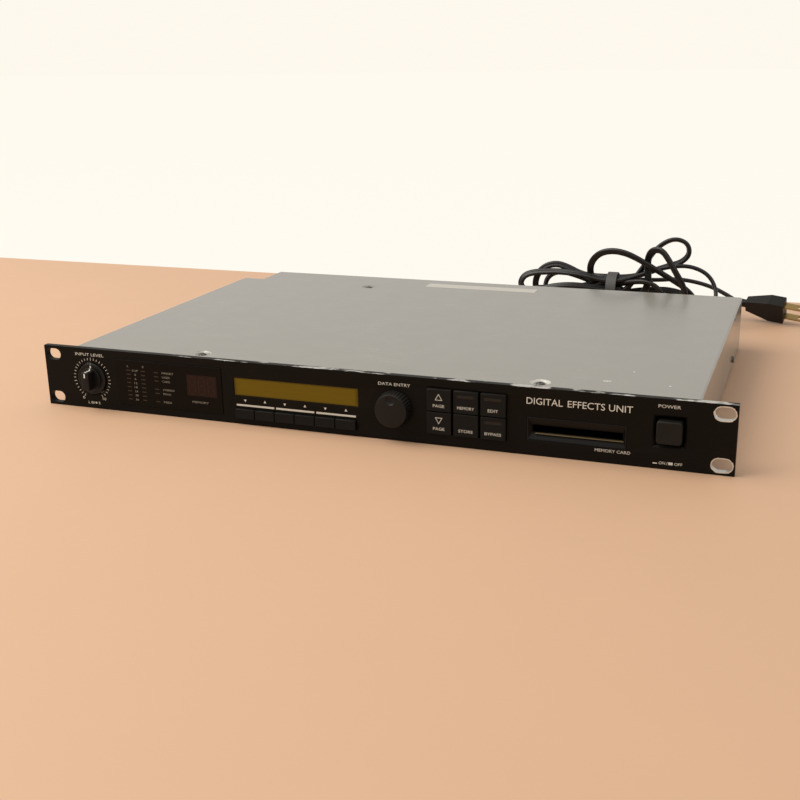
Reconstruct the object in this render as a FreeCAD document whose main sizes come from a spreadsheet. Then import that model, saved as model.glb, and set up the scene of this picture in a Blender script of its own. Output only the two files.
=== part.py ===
import FreeCAD
import Part
import Sketcher
import math
import os
import re

os.makedirs("parts", exist_ok=True)
doc = FreeCAD.newDocument("EffectsUnit")
V = FreeCAD.Vector

# Frame: origin at the centre of the rack-slot pattern on the panel's rear face,
# +X to the right seen from the front, +Y to the rear, +Z up.

# ---------------------------------------------------------------- dimensions
SIZES = {
    # front panel and rack slots
    "panel_width": 480.0, "panel_height": 44.0, "panel_thick": 4.5,
    "slot_pitch_x": 465.1, "slot_pitch_z": 31.75, "slot_length": 12.0, "slot_width": 8.2,
    # enclosure
    "case_width": 436.4, "case_depth": 293.0, "case_top": 21.0, "case_bottom": -22.0,
    "sheet": 1.0, "front_wall": 1.2, "notch_x": 19.0, "notch_y": 34.0,
    "lip_depth": 24.0, "side_flange": 14.0, "dish_radius": 6.5, "dish_depth": 1.5,
    "dish_x": 119.6, "dish_y": 10.9, "rear_dish_x": -92.3, "rear_dish_y": 252.0,
    "side_screw_front": 60.0, "side_screw_rear": 225.0, "side_screw_drop": 15.0,
    # fits
    "fit": 0.4, "seat": 0.15, "shaft_fit": 0.05, "gap": 0.3, "wall_margin": 1.2,
    # meter window, display, number display
    "window_x": -139.0, "window_z": -0.15, "window_width": 84.0, "window_height": 33.0,
    "window_proud": 0.4,
    "number_x": -112.6, "number_z": 2.3, "number_width": 23.0, "number_height": 15.0,
    "led_left_x": -170.5, "led_right_x": -158.8, "status_x": -148.2, "led_row_top": 9.0,
    "led_pitch": 3.0, "led_width": 3.4, "led_height": 1.3,
    "lcd_x": -42.6, "lcd_z": 4.45, "lcd_width": 91.0, "lcd_height": 12.7,
    "lens_sunk": 0.5, "pane_flange": 0.9,
    # soft keys under the display
    "soft_first_x": -79.8, "soft_pitch": 14.76, "soft_width": 14.1, "soft_height": 6.6,
    "soft_z": -14.2, "key_proud": 2.2, "key_travel": 0.5,
    # function keys
    "func_first_x": 58.6, "func_pitch_x": 17.75, "func_pitch_z": 15.2, "func_width": 16.2,
    "func_height": 14.5, "func_z": 0.9, "key_depth": 7.2, "key_face": 1.6, "key_wall": 1.2,
    "stem_radius": 1.5,
    # front board with its push switches
    "board_y": 12.0, "board_thick": 1.6, "switch_size": 6.0, "switch_height": 4.0,
    "switch_floor": 1.2,
    # input level control
    "level_x": -201.6, "level_radius": 11.4, "level_hole": 12.2, "ring_front": 1.1,
    "ring_thick": 3.0, "grip_base": 8.0, "grip_proud": 8.9, "grip_half_width": 3.1,
    "grip_half_height": 6.6, "outer_shaft": 3.0, "inner_shaft": 1.5, "bushing": 4.4,
    # data dial
    "dial_x": 28.1, "dial_front_radius": 11.0, "dial_base_radius": 12.2, "dial_proud": 8.0,
    "dial_hole": 8.6, "dial_shaft_radius": 3.0, "dial_bushing": 3.6, "dimple_radius": 3.1,
    "dimple_offset": 7.5, "rib_count": 36.0, "rib_radius": 0.55,
    # power button
    "power_x": 201.65, "power_z": 1.7, "power_width": 15.4, "power_height": 14.2,
    "power_proud": 3.2, "power_travel": 2.8, "power_hole_width": 17.4, "power_hole_height": 18.0,
    "power_bevel": 1.2, "power_length": 15.0,
    # card slot
    "card_x": 145.9, "card_z": -4.7, "card_bezel_width": 61.6, "card_bezel_height": 15.2,
    "card_slot_width": 55.4, "card_slot_height": 4.6, "card_slot_z": -5.3, "card_scoop": 3.2,
    "card_depth": 44.0, "card_wall": 2.0,
    # rear connectors
    "xlr_radius": 11.8, "xlr_flange_x": 26.0, "xlr_flange_z": 31.0, "connector_flange": 2.0,
    "xlr_depth": 24.0, "jack_bore": 3.25, "jack_body": 7.0, "jack_nose": 4.6, "jack_depth": 26.0,
    "midi_radius": 8.6, "midi_depth": 14.0,
    # mains cord
    "cord_tube": 2.6, "relief_x": 190.0, "relief_z": -8.0,
    "relief_length": 25.0, "relief_base": 6.6, "relief_tip": 3.6,
    "neck_radius": 13.0, "tie_x": 100.0, "tie_width": 9.0, "tie_wall": 1.2,
}
sheet = doc.addObject("Spreadsheet::Sheet", "Dims")
for row, (alias, number) in enumerate(SIZES.items(), start=1):
    sheet.set(f"A{row}", alias)
    sheet.set(f"B{row}", str(number))
    sheet.setAlias(f"B{row}", alias)
doc.recompute()


def value(text):
    """The number that an expression in the sheet's aliases stands for now."""
    return add_up(re.findall(r"[a-z_]+|\d+\.?\d*|[-+*/()]", str(text)))


def add_up(tokens):
    total = product(tokens)
    while tokens and tokens[0] in "+-":
        sign = 1 if tokens.pop(0) == "+" else -1
        total += sign * product(tokens)
    return total


def product(tokens):
    total = single(tokens)
    while tokens and tokens[0] in "*/":
        divide = tokens.pop(0) == "/"
        factor = single(tokens)
        total = total / factor if divide else total * factor
    return total


def single(tokens):
    token = tokens.pop(0)
    if token == "-":
        return -single(tokens)
    if token == "(":
        inner = add_up(tokens)
        tokens.pop(0)
        return inner
    return float(getattr(sheet, token)) if token in SIZES else float(token)


def bound(text):
    """The same expression with every alias pointing at the sheet."""
    return re.sub(r"[a-z_]+", lambda word: "Dims." + word.group(0), str(text))


def bind(item, **properties):
    for name, text in properties.items():
        item.setExpression(name.replace("__", "."), bound(text))


# ---------------------------------------------------------------- primitives
def place(item, x, y, z, turn=None):
    if turn is not None:
        item.Placement = FreeCAD.Placement(V(0, 0, 0), turn)
    bind(item, Placement__Base__x=x, Placement__Base__y=y, Placement__Base__z=z)
    return item


def block(x, y, z, dx, dy, dz):
    """A box from its lowest corner."""
    item = doc.addObject("Part::Box", "Block")
    bind(item, Length=dx, Width=dy, Height=dz)
    return place(item, x, y, z)


def slab(cx, y, cz, dx, dy, dz):
    """A box centred in X and Z that starts at y."""
    return block(f"{cx} - ({dx}) / 2", y, f"{cz} - ({dz}) / 2", dx, dy, dz)


TURNS = {
    "X": FreeCAD.Rotation(V(0, 1, 0), 90),
    "Y": FreeCAD.Rotation(V(1, 0, 0), -90),
    "Z": FreeCAD.Rotation(),
}


def rod(radius, length, x, y, z, along="Y"):
    item = doc.addObject("Part::Cylinder", "Rod")
    bind(item, Radius=radius, Height=length)
    return place(item, x, y, z, TURNS[along])


def cone(first, last, length, x, y, z, along="Y"):
    item = doc.addObject("Part::Cone", "Taper")
    bind(item, Radius1=first, Radius2=last, Height=length)
    return place(item, x, y, z, TURNS[along])


def funnel(cx, cz, y, depth, wide, tall, end_cz, end_wide, end_tall):
    """A rectangle at y that tapers to another one, depth further back."""
    item = doc.addObject("Part::Wedge", "Funnel")
    bind(
        item,
        Xmin=f"-({wide}) / 2", Xmax=f"({wide}) / 2", Zmin=f"-({tall}) / 2", Zmax=f"({tall}) / 2",
        X2min=f"-({end_wide}) / 2", X2max=f"({end_wide}) / 2",
        Z2min=f"({end_cz}) - ({cz}) - ({end_tall}) / 2", Z2max=f"({end_cz}) - ({cz}) + ({end_tall}) / 2",
        Ymin="0", Ymax=depth,
    )
    return place(item, cx, y, cz)


def fuse(label, *items):
    item = doc.addObject("Part::MultiFuse", "Fuse")
    item.Shapes = list(items)
    item.Label = label
    return item


def cut(label, base, *tools):
    item = doc.addObject("Part::Cut", "Cut")
    item.Base = base
    item.Tool = tools[0] if len(tools) == 1 else fuse(label + " tools", *tools)
    item.Label = label
    return item


def group(label, *items):
    """Separate identical solids that share one node."""
    item = doc.addObject("Part::Compound", "Group")
    item.Links = list(items)
    item.Label = label
    return item


def rounded(label, item, radius, direction):
    """Fillets every straight edge along a direction, by up to the radius."""
    doc.recompute()
    chosen = []
    for number, edge in enumerate(item.Shape.Edges, start=1):
        line = edge.Curve
        if line.TypeId == "Part::GeomLine" and abs(abs(line.Direction.dot(direction)) - 1) < 1e-6:
            chosen.append((number, radius, radius))
    result = doc.addObject("Part::Fillet", "Rounded")
    result.Base = item
    result.Edges = chosen
    result.Label = label
    return result


NODES = []


def node(item, label=None):
    if label:
        item.Label = label
    NODES.append(item)
    return item


# ---------------------------------------------------------------- sketched bodies
def new_body(label):
    body = doc.addObject("PartDesign::Body", label)
    body.Label = label
    return body


def plane_of(body, role):
    return next(item for item in body.Origin.OriginFeatures if item.Role == role)


def new_sketch(body, role="XZ_Plane", offset=None):
    sketch = body.newObject("Sketcher::SketchObject", "Sketch")
    sketch.AttachmentSupport = [(plane_of(body, role), "")]
    sketch.MapMode = "FlatFace"
    if offset is not None:
        sketch.setExpression("AttachmentOffset.Base.z", bound(offset))
    return sketch


def pin_point(sketch, geometry, point, x, y):
    """Fixes a point of the sketch at two expressions, measured from the sketch's origin."""
    for kind, text in (("DistanceX", x), ("DistanceY", y)):
        index = sketch.addConstraint(Sketcher.Constraint(kind, -1, 1, geometry, point, value(text)))
        sketch.setExpression(f"Constraints[{index}]", bound(text))


def draw_rectangle(sketch, cx, cz, wide, tall):
    left, right = f"{cx} - ({wide}) / 2", f"{cx} + ({wide}) / 2"
    low, high = f"{cz} - ({tall}) / 2", f"{cz} + ({tall}) / 2"
    corners = [V(value(x), value(z), 0) for x, z in ((left, low), (right, low), (right, high), (left, high))]
    first = sketch.GeometryCount
    for start, end in zip(corners, corners[1:] + corners[:1]):
        sketch.addGeometry(Part.LineSegment(start, end), False)
    for side in range(4):
        sketch.addConstraint(Sketcher.Constraint("Coincident", first + side, 2, first + (side + 1) % 4, 1))
        flat = "Horizontal" if side % 2 == 0 else "Vertical"
        sketch.addConstraint(Sketcher.Constraint(flat, first + side))
    pin_point(sketch, first, 1, left, low)
    pin_point(sketch, first + 2, 1, right, high)


def draw_circle(sketch, cx, cz, radius):
    index = sketch.addGeometry(Part.Circle(V(value(cx), value(cz), 0), V(0, 0, 1), value(radius)), False)
    pin_point(sketch, index, 3, cx, cz)
    size = sketch.addConstraint(Sketcher.Constraint("Radius", index, value(radius)))
    sketch.setExpression(f"Constraints[{size}]", bound(radius))


def draw_slot(sketch, cx, cz, length, wide):
    """A slot along X with round ends."""
    radius = value(wide) / 2
    reach = (value(length) - value(wide)) / 2
    x, z = value(cx), value(cz)
    first = sketch.GeometryCount
    for side in (-1, 1):
        centre = V(x + side * reach, z, 0)
        start = math.pi / 2 if side < 0 else -math.pi / 2
        arc = Part.ArcOfCircle(Part.Circle(centre, V(0, 0, 1), radius), start, start + math.pi)
        sketch.addGeometry(arc, False)
    sketch.addGeometry(Part.LineSegment(V(x - reach, z - radius, 0), V(x + reach, z - radius, 0)), False)
    sketch.addGeometry(Part.LineSegment(V(x + reach, z + radius, 0), V(x - reach, z + radius, 0)), False)
    left, right, bottom, top = range(first, first + 4)
    for one, one_end, other, other_end in ((left, 2, bottom, 1), (bottom, 2, right, 1),
                                           (right, 2, top, 1), (top, 2, left, 1)):
        sketch.addConstraint(Sketcher.Constraint("Tangent", one, one_end, other, other_end))
    pin_point(sketch, left, 3, f"{cx} - ({length} - {wide}) / 2", cz)
    pin_point(sketch, right, 3, f"{cx} + ({length} - {wide}) / 2", cz)
    size = sketch.addConstraint(Sketcher.Constraint("Radius", left, radius))
    sketch.setExpression(f"Constraints[{size}]", bound(f"{wide} / 2"))


def pad(body, sketch, length):
    item = body.newObject("PartDesign::Pad", "Pad")
    item.Profile = sketch
    item.setExpression("Length", bound(length))
    sketch.Visibility = False
    return item


def pierce(body, sketch):
    """Cuts the sketch right through the body, both ways, and checks that it cut."""
    doc.recompute()
    before = body.Shape.Volume
    item = body.newObject("PartDesign::Pocket", "Pocket")
    item.Profile = sketch
    item.Type = "ThroughAll"
    item.Midplane = True
    doc.recompute()
    assert body.Shape.Volume < before - 1e-3, body.Label + ": a pocket cut nothing"
    return item


# ---------------------------------------------------------------- front panel
def soft_key_x(index):
    return f"soft_first_x + soft_pitch * {index}"


def func_key_place(column, row):
    return f"func_first_x + func_pitch_x * {column}", f"func_z + func_pitch_z * (0.5 - {row})"


SOFT_SPAN = "soft_pitch * 5 + soft_width"
SOFT_MIDDLE = "soft_first_x + soft_pitch * 2.5"
FUNC_SPAN = "func_pitch_x * 2 + func_width"
FUNC_TALL = "func_pitch_z + func_height"
FUNC_MIDDLE = "func_first_x + func_pitch_x"

# Rectangular openings of the panel: centre x, centre z, width, height.
OPENINGS = [
    ("window_x", "window_z", "window_width", "window_height"),
    ("lcd_x", "lcd_z", "lcd_width", "lcd_height"),
    (SOFT_MIDDLE, "soft_z", f"{SOFT_SPAN} + 2 * fit", "soft_height + 2 * fit"),
    (FUNC_MIDDLE, "func_z", f"{FUNC_SPAN} + 2 * fit", f"{FUNC_TALL} + 2 * fit"),
    ("power_x", "power_z", "power_hole_width", "power_hole_height"),
    ("card_x", "card_z", "card_bezel_width + 2 * seat", "card_bezel_height + 2 * seat"),
]
ROUND_OPENINGS = [("level_x", "0", "level_hole"), ("dial_x", "0", "dial_hole")]


def make_front_panel():
    body = new_body("panel plate")
    outline = new_sketch(body)
    draw_rectangle(outline, "0", "0", "panel_width", "panel_height")
    pad(body, outline, "panel_thick")
    openings = new_sketch(body)
    for cx, cz, wide, tall in OPENINGS:
        draw_rectangle(openings, cx, cz, wide, tall)
    for cx, cz, radius in ROUND_OPENINGS:
        draw_circle(openings, cx, cz, radius)
    pierce(body, openings)
    slots = new_sketch(body)
    for side_x in (-1, 1):
        for side_z in (-1, 1):
            draw_slot(slots, f"({side_x}) * slot_pitch_x / 2", f"({side_z}) * slot_pitch_z / 2",
                      "slot_length", "slot_width")
    pierce(body, slots)
    bevel = funnel("power_x", "power_z", "-panel_thick", "power_bevel",
                   "power_hole_width + 2 * power_bevel", "power_hole_height + 2 * power_bevel",
                   "power_z", "power_hole_width", "power_hole_height")
    return node(cut("front_panel", body, bevel))


make_front_panel()


# ---------------------------------------------------------------- chassis
INNER_HALF = "case_width / 2 - sheet - fit"
SCREW_STEM = "1.4"
SCREW_CLEAR = "1.7"


def make_chassis_tray():
    half = INNER_HALF
    floor = block(f"-({half})", "0", "case_bottom", f"2 * ({half})", "case_depth", "sheet")
    wall = block(f"-({half})", "0", "case_bottom", f"2 * ({half})", "front_wall",
                 "case_top - sheet - gap - case_bottom")
    lip = block(f"-({half})", "0", "case_top - sheet - gap - dish_depth - sheet", f"2 * ({half})",
                "lip_depth", "sheet")
    sides = [
        block(f"-({half})", "0", "case_bottom", "sheet", "case_depth - notch_y", "side_flange"),
        block(f"{half} - sheet", "0", "case_bottom", "sheet", "case_depth", "side_flange"),
    ]
    post = rod("4", "case_top - sheet - gap - dish_depth - case_bottom", "rear_dish_x", "rear_dish_y",
               "case_bottom", "Z")
    solid = fuse("tray blank", floor, wall, lip, *sides, post)
    tools = [
        slab(cx, "-1", cz, f"{wide} + 2 * wall_margin", "front_wall + 2", f"{tall} + 2 * wall_margin")
        for cx, cz, wide, tall in OPENINGS
    ]
    tools += [
        rod("bushing + seat", "front_wall + 2", "level_x", "-1", "0"),
        rod("dial_bushing + seat", "front_wall + 2", "dial_x", "-1", "0"),
        block(f"-({half}) - 1", "case_depth - notch_y - sheet - fit", "case_bottom - 1",
              f"({half}) + 1 - (case_width / 2 - notch_x - sheet - fit)", "notch_y + sheet + fit + 1", "50"),
        rod(SCREW_STEM, "10", "rear_dish_x", "rear_dish_y",
            "case_top - sheet - gap - dish_depth - 10", "Z"),
    ]
    for side in ("-dish_x", "dish_x"):
        tools.append(rod(SCREW_STEM, "8", side, "dish_y", "case_top - sheet - gap - dish_depth - 4", "Z"))
    for y in ("side_screw_front", "side_screw_rear"):
        height = "case_bottom + side_flange - 5"
        tools.append(rod(SCREW_STEM, "4", f"-({half}) - 1", y, height, "X"))
        tools.append(rod(SCREW_STEM, "4", f"{half} - 2", y, height, "X"))
    tray = cut("chassis_tray", solid, *tools)
    return node(tray)


make_chassis_tray()


DISH_FLOOR = "case_top - dish_depth"


def make_top_cover():
    body = new_body("cover shell")
    plan = new_sketch(body, "XY_Plane", "case_top - sheet")
    draw_rectangle(plan, "0", "case_depth / 2", "case_width", "case_depth")
    pad(body, plan, "sheet")
    corner = new_sketch(body, "XY_Plane", "case_top - sheet")
    draw_rectangle(corner, "-case_width / 2 + notch_x / 2 - 1", "case_depth - notch_y / 2 + 1",
                   "notch_x + 2", "notch_y + 2")
    pierce(body, corner)
    side_height = "case_top - case_bottom - sheet"
    left = block("-case_width / 2", "0", "case_bottom + sheet", "sheet", "case_depth - notch_y", side_height)
    right = block("case_width / 2 - sheet", "0", "case_bottom + sheet", "sheet", "case_depth", side_height)
    step_side = block("-case_width / 2 + notch_x", "case_depth - notch_y - sheet", "case_bottom + sheet",
                      "sheet", "notch_y + sheet", side_height)
    step_back = block("-case_width / 2", "case_depth - notch_y - sheet", "case_bottom + sheet",
                      "notch_x", "sheet", side_height)
    spots = [("-dish_x", "dish_y"), ("dish_x", "dish_y"), ("rear_dish_x", "rear_dish_y")]
    dishes, holes = [], []
    for x, y in spots:
        dishes.append(cone("dish_radius - 1.5", "dish_radius + 1", "dish_depth", x, y,
                           "case_top - sheet - dish_depth", "Z"))
        holes.append(cone("dish_radius - 2.7", "dish_radius", "dish_depth", x, y, DISH_FLOOR, "Z"))
        holes.append(rod(SCREW_CLEAR, "4", x, y, "case_top - sheet - dish_depth - 1", "Z"))
    for y in ("side_screw_front", "side_screw_rear"):
        holes.append(rod(SCREW_CLEAR, "case_width + 2", "-case_width / 2 - 1", y,
                         "case_bottom + side_flange - 5", "X"))
    solid = fuse("cover blank", body, left, right, step_side, step_back, *dishes)
    return node(cut("top_cover", solid, *holes))


make_top_cover()


# Rear connectors, left to right seen from the front: inputs, footswitch, outputs, MIDI, mains.
JACK_Z = "0"
XLR_IN_X = ("-182", "-150")
JACK_IN_X = ("-124", "-106")
SWITCH_IN_X = "-90"
FOOT_JACK_X = "-74"
JACK_OUT_X = ("-56", "-38")
SWITCH_OUT_X = "-22"
XLR_OUT_X = ("6", "38")
MIDI_X = ("80", "106")
REAR_INNER = "case_depth - sheet"


def make_rear_panel():
    left = "-case_width / 2 + notch_x + sheet + seat"
    right = f"{INNER_HALF} - sheet - seat"
    plate = block(left, REAR_INNER, "case_bottom + sheet", f"{right} - ({left})", "sheet",
                  "case_top - sheet - gap - (case_bottom + sheet)")
    tools = [rod("xlr_radius + seat", "6", x, f"{REAR_INNER} - 2", JACK_Z) for x in XLR_IN_X + XLR_OUT_X]
    tools += [rod("jack_nose + seat", "6", x, f"{REAR_INNER} - 2", JACK_Z)
              for x in JACK_IN_X + JACK_OUT_X + (FOOT_JACK_X,)]
    tools += [rod("midi_radius + seat", "6", x, f"{REAR_INNER} - 2", JACK_Z) for x in MIDI_X]
    tools += [slab(x, f"{REAR_INNER} - 2", JACK_Z, "5", "6", "11") for x in (SWITCH_IN_X, SWITCH_OUT_X)]
    tools.append(rod("relief_base", "6", "relief_x", f"{REAR_INNER} - 2", "relief_z"))
    return node(cut("rear_panel", plate, *tools))


make_rear_panel()


def screw_down(x, y):
    """A cross-head screw on the floor of its dish, pointing down."""
    head = cone("3.1", "2.4", "1.2", x, y, DISH_FLOOR, "Z")
    stem = rod(SCREW_STEM, "4.5", x, y, f"{DISH_FLOOR} - 4", "Z")
    drive = [block(f"{x} - 1.6", f"{y} - 0.25", f"{DISH_FLOOR} + 0.6", "3.2", "0.5", "1"),
             block(f"{x} - 0.25", f"{y} - 1.6", f"{DISH_FLOOR} + 0.6", "0.5", "3.2", "1")]
    return cut("screw", fuse("screw blank", head, stem), *drive)


def screw_sideways(side, y, z):
    """A pan-head screw through a side wall, side is -1 or 1."""
    outer = "case_width / 2"
    if side > 0:
        head = cone("2.8", "2.2", "1.4", outer, y, z, "X")
        stem = rod(SCREW_STEM, "5", f"{outer} - 5", y, z, "X")
        drive = block(f"{outer} + 0.7", f"{y} - 1.8", f"{z} - 0.3", "2", "3.6", "0.6")
    else:
        head = cone("2.2", "2.8", "1.4", f"-({outer}) - 1.4", y, z, "X")
        stem = rod(SCREW_STEM, "5", f"-({outer})", y, z, "X")
        drive = block(f"-({outer}) - 2.7", f"{y} - 1.8", f"{z} - 0.3", "2", "3.6", "0.6")
    return cut("screw", fuse("screw blank", head, stem), drive)


node(group("cover_screws",
           screw_down("-dish_x", "dish_y"),
           screw_down("dish_x", "dish_y"),
           screw_down("rear_dish_x", "rear_dish_y"),
           *[screw_sideways(side, y, "case_bottom + side_flange - 5")
             for side in (-1, 1) for y in ("side_screw_front", "side_screw_rear")]))

# ---------------------------------------------------------------- meter and displays
WINDOW_FRONT = "-panel_thick - window_proud"
LAMP_BACK = "board_y - (front_wall + gap)"


def flanged_pane(label, cx, cz, front, wide, tall):
    """A clear pane that fills its opening, with a flange that seats on the panel's rear face."""
    pane = slab(cx, front, cz, f"{wide} - 2 * seat", f"-({front})", f"{tall} - 2 * seat")
    flange = slab(cx, "0", cz, f"{wide} + 2 * pane_flange", "pane_flange", f"{tall} + 2 * pane_flange")
    return node(fuse(label, pane, flange))


flanged_pane("meter_window", "window_x", "window_z", WINDOW_FRONT, "window_width", "window_height")


def led_bar(cx, row):
    height = f"led_row_top - led_pitch * {row}"
    return slab(cx, "front_wall + gap", height, "led_width", LAMP_BACK, "led_height")


LED_ROWS = range(8)
STATUS_ROWS = (0, 1, 2, 4, 5, 7)
meter_lamps = [led_bar(x, row) for x in ("led_left_x", "led_right_x") for row in LED_ROWS]
status_lamps = [led_bar("status_x", row) for row in STATUS_ROWS]
node(group("meter_lamps", *meter_lamps, *status_lamps))
node(slab("number_x", "front_wall + gap", "number_z", "number_width", LAMP_BACK, "number_height"),
     "number_display")
flanged_pane("display_lens", "lcd_x", "lcd_z", "lens_sunk - panel_thick", "lcd_width", "lcd_height")
node(slab("lcd_x", "front_wall + gap", "lcd_z + 1.4", "lcd_width + 8", LAMP_BACK, "lcd_height + 9"),
     "display_module")


# ---------------------------------------------------------------- keys
KEY_FRONT = "-panel_thick - key_proud"


def key(label, x, z, wide, tall):
    """A hollow-backed key cap with its stem, which runs into its switch."""
    cap = slab(x, KEY_FRONT, z, wide, "key_depth", tall)
    soft_edges = rounded(label + " cap", cap, 0.6, V(0, 1, 0))
    hollow = slab(x, f"{KEY_FRONT} + key_face", z, f"{wide} - 2 * key_wall", "key_depth",
                  f"{tall} - 2 * key_wall")
    stem_start = f"{KEY_FRONT} + key_face / 2"
    stem = rod("stem_radius", f"board_y - switch_floor - gap - key_travel - ({stem_start})", x, stem_start, z)
    return node(fuse(label, cut(label + " shell", soft_edges, hollow), stem))


SOFT_KEYS = [f"soft_key_{number}" for number in range(1, 7)]
for index, label in enumerate(SOFT_KEYS):
    key(label, soft_key_x(index), "soft_z", "soft_width", "soft_height")
FUNC_KEYS = [["page_up_key", "memory_key", "edit_key"], ["page_down_key", "store_key", "bypass_key"]]
for row, labels in enumerate(FUNC_KEYS):
    for column, label in enumerate(labels):
        x, z = func_key_place(column, row)
        key(label, x, z, "func_width", "func_height")


def push_switch(x, z):
    """A switch on the front board with a bore for the key's stem."""
    case = slab(x, "board_y - switch_height", z, "switch_size", "switch_height", "switch_size")
    bore = rod("stem_radius + gap", "switch_height - switch_floor + 1", x, "board_y - switch_height - 1", z)
    return cut("switch", case, bore)


switch_places = [(soft_key_x(index), "soft_z") for index in range(6)]
switch_places += [func_key_place(column, row) for row in range(2) for column in range(3)]
node(group("push_switches", *[push_switch(x, z) for x, z in switch_places]))

# ---------------------------------------------------------------- front board
BOARD_LEFT = "-188"
BOARD_RIGHT = "113"
board = block(BOARD_LEFT, "board_y", "-18", f"{BOARD_RIGHT} - ({BOARD_LEFT})", "board_thick", "33")
node(board, "front_board")
front_posts = [rod("2", "board_y - front_wall", x, "front_wall", z)
               for x, z in (("-185", "13"), ("-94.8", "13"), ("9", "-15.6"), ("46", "13"), ("109", "13"))]

# ---------------------------------------------------------------- input level control
RING_FRONT = "-panel_thick - ring_front"


def make_level_control():
    disc = rod("level_radius", "ring_thick", "level_x", RING_FRONT, "0")
    node(cut("level_ring", disc, rod("outer_shaft", "9", "level_x", f"{RING_FRONT} - 3", "0")))
    sleeve = rod("outer_shaft", "14", "level_x", RING_FRONT, "0")
    node(cut("level_outer_shaft", sleeve,
             rod("inner_shaft + shaft_fit", "16", "level_x", f"{RING_FRONT} - 1", "0")))
    grip_back = f"{RING_FRONT} - gap"
    base = rod("grip_base", "0.8", "level_x", f"{grip_back} - 0.8", "0")
    tip = "-panel_thick - grip_proud"
    blade = slab("level_x", tip, "0", "2 * grip_half_width", f"({grip_back}) - ({tip})",
                 "2 * grip_half_height")
    hub = rod("5", "4", "level_x", f"{grip_back} - 4", "0")
    grip = fuse("grip blank", base, rounded("grip blade", blade, 0.7, V(0, 1, 0)), hub)
    node(cut("level_grip", grip, rod("inner_shaft", "6", "level_x", f"{grip_back} - 5.9", "0")))
    node(rod("inner_shaft", "25.8", "level_x", f"{grip_back} - 5.9", "0"), "level_inner_shaft")
    case = rod("8.2", "14", "level_x", "3", "0")
    thread = rod("bushing", "5.4", "level_x", "-2.2", "0")
    terminals = slab("level_x", "9", "-11", "8", "6", "6")
    pot = fuse("pot blank", case, thread, terminals)
    node(cut("level_pot", pot, rod("outer_shaft + shaft_fit", "14", "level_x", "-3", "0"),
             rod("inner_shaft + shaft_fit", "20", "level_x", "-3", "0")))


make_level_control()

# ---------------------------------------------------------------- data dial
DIAL_BACK = "-panel_thick - gap"
DIAL_FRONT = "-panel_thick - dial_proud"


def make_dial():
    skirt = cone("dial_front_radius", "dial_base_radius", f"({DIAL_BACK}) - ({DIAL_FRONT})",
                 "dial_x", DIAL_FRONT, "0")
    hub = rod("7", "3", "dial_x", f"{DIAL_BACK} - 3", "0")
    tools = [rod("dial_base_radius - 2", "4", "dial_x", f"{DIAL_BACK} - 2.5", "0")]
    shell = fuse("dial hub blank", cut("dial shell", skirt, *tools), hub)
    dimple = doc.addObject("Part::Sphere", "Dimple")
    bind(dimple, Radius="dimple_radius * 1.6")
    place(dimple, "dial_x", f"{DIAL_FRONT} - dimple_radius * 1.25", "dimple_offset")
    grooves = []
    count = int(value("rib_count"))
    for number in range(count):
        angle = math.radians(360 * (number + 0.5) / count)
        grooves.append(rod("rib_radius", "dial_proud + 2",
                           f"dial_x + dial_base_radius * ({math.sin(angle):.6f})", f"{DIAL_FRONT} - 1",
                           f"dial_base_radius * ({math.cos(angle):.6f})"))
    bore = rod("dial_shaft_radius", "5", "dial_x", f"{DIAL_BACK} - 3.5", "0")
    node(cut("data_dial", shell, dimple, bore, *grooves))
    node(rod("dial_shaft_radius", "11", "dial_x", f"{DIAL_BACK} - 3.5", "0"), "dial_shaft")
    case = slab("dial_x", "4", "0", "13", "board_y - 4", "13")
    thread = rod("dial_bushing", "6.4", "dial_x", "-2.2", "0")
    node(cut("dial_encoder", fuse("encoder blank", case, thread),
             rod("dial_shaft_radius + shaft_fit", "9", "dial_x", "-3", "0")))


make_dial()


def hex_nut(x, radius, bore):
    """A thin hexagon nut in front of the chassis wall."""
    item = doc.addObject("Part::Prism", "Nut")
    item.Polygon = 6
    bind(item, Circumradius=radius, Height="1.9")
    place(item, x, "-1.9", "0", TURNS["Y"])
    return cut("nut", item, rod(bore, "4", x, "-3", "0"))


node(group("control_nuts", hex_nut("level_x", "6.6", "bushing"), hex_nut("dial_x", "5.6", "dial_bushing")))

# ---------------------------------------------------------------- power switch
POWER_FRONT = "-panel_thick - power_proud"


def make_power():
    cap = slab("power_x", POWER_FRONT, "power_z", "power_width", "power_length", "power_height")
    back = f"{POWER_FRONT} + power_length"
    plunger = slab("power_x", f"{back} - 1", "power_z", "4", "13", "4")
    node(fuse("power_button", rounded("power cap", cap, 2.0, V(0, 1, 0)), plunger))
    case_start = f"{back} + power_travel + gap + 1"
    case = slab("power_x", case_start, "power_z", "12", "22", "16")
    bore = slab("power_x", f"{case_start} - 1", "power_z", "4 + 2 * gap", "12.5", "4 + 2 * gap")
    foot = block("power_x - 6", f"{case_start} + 2", "case_bottom + sheet", "12", "14",
                 "power_z - 7 - (case_bottom + sheet)")
    node(cut("power_switch", fuse("power switch blank", case, foot), bore))


make_power()


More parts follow.
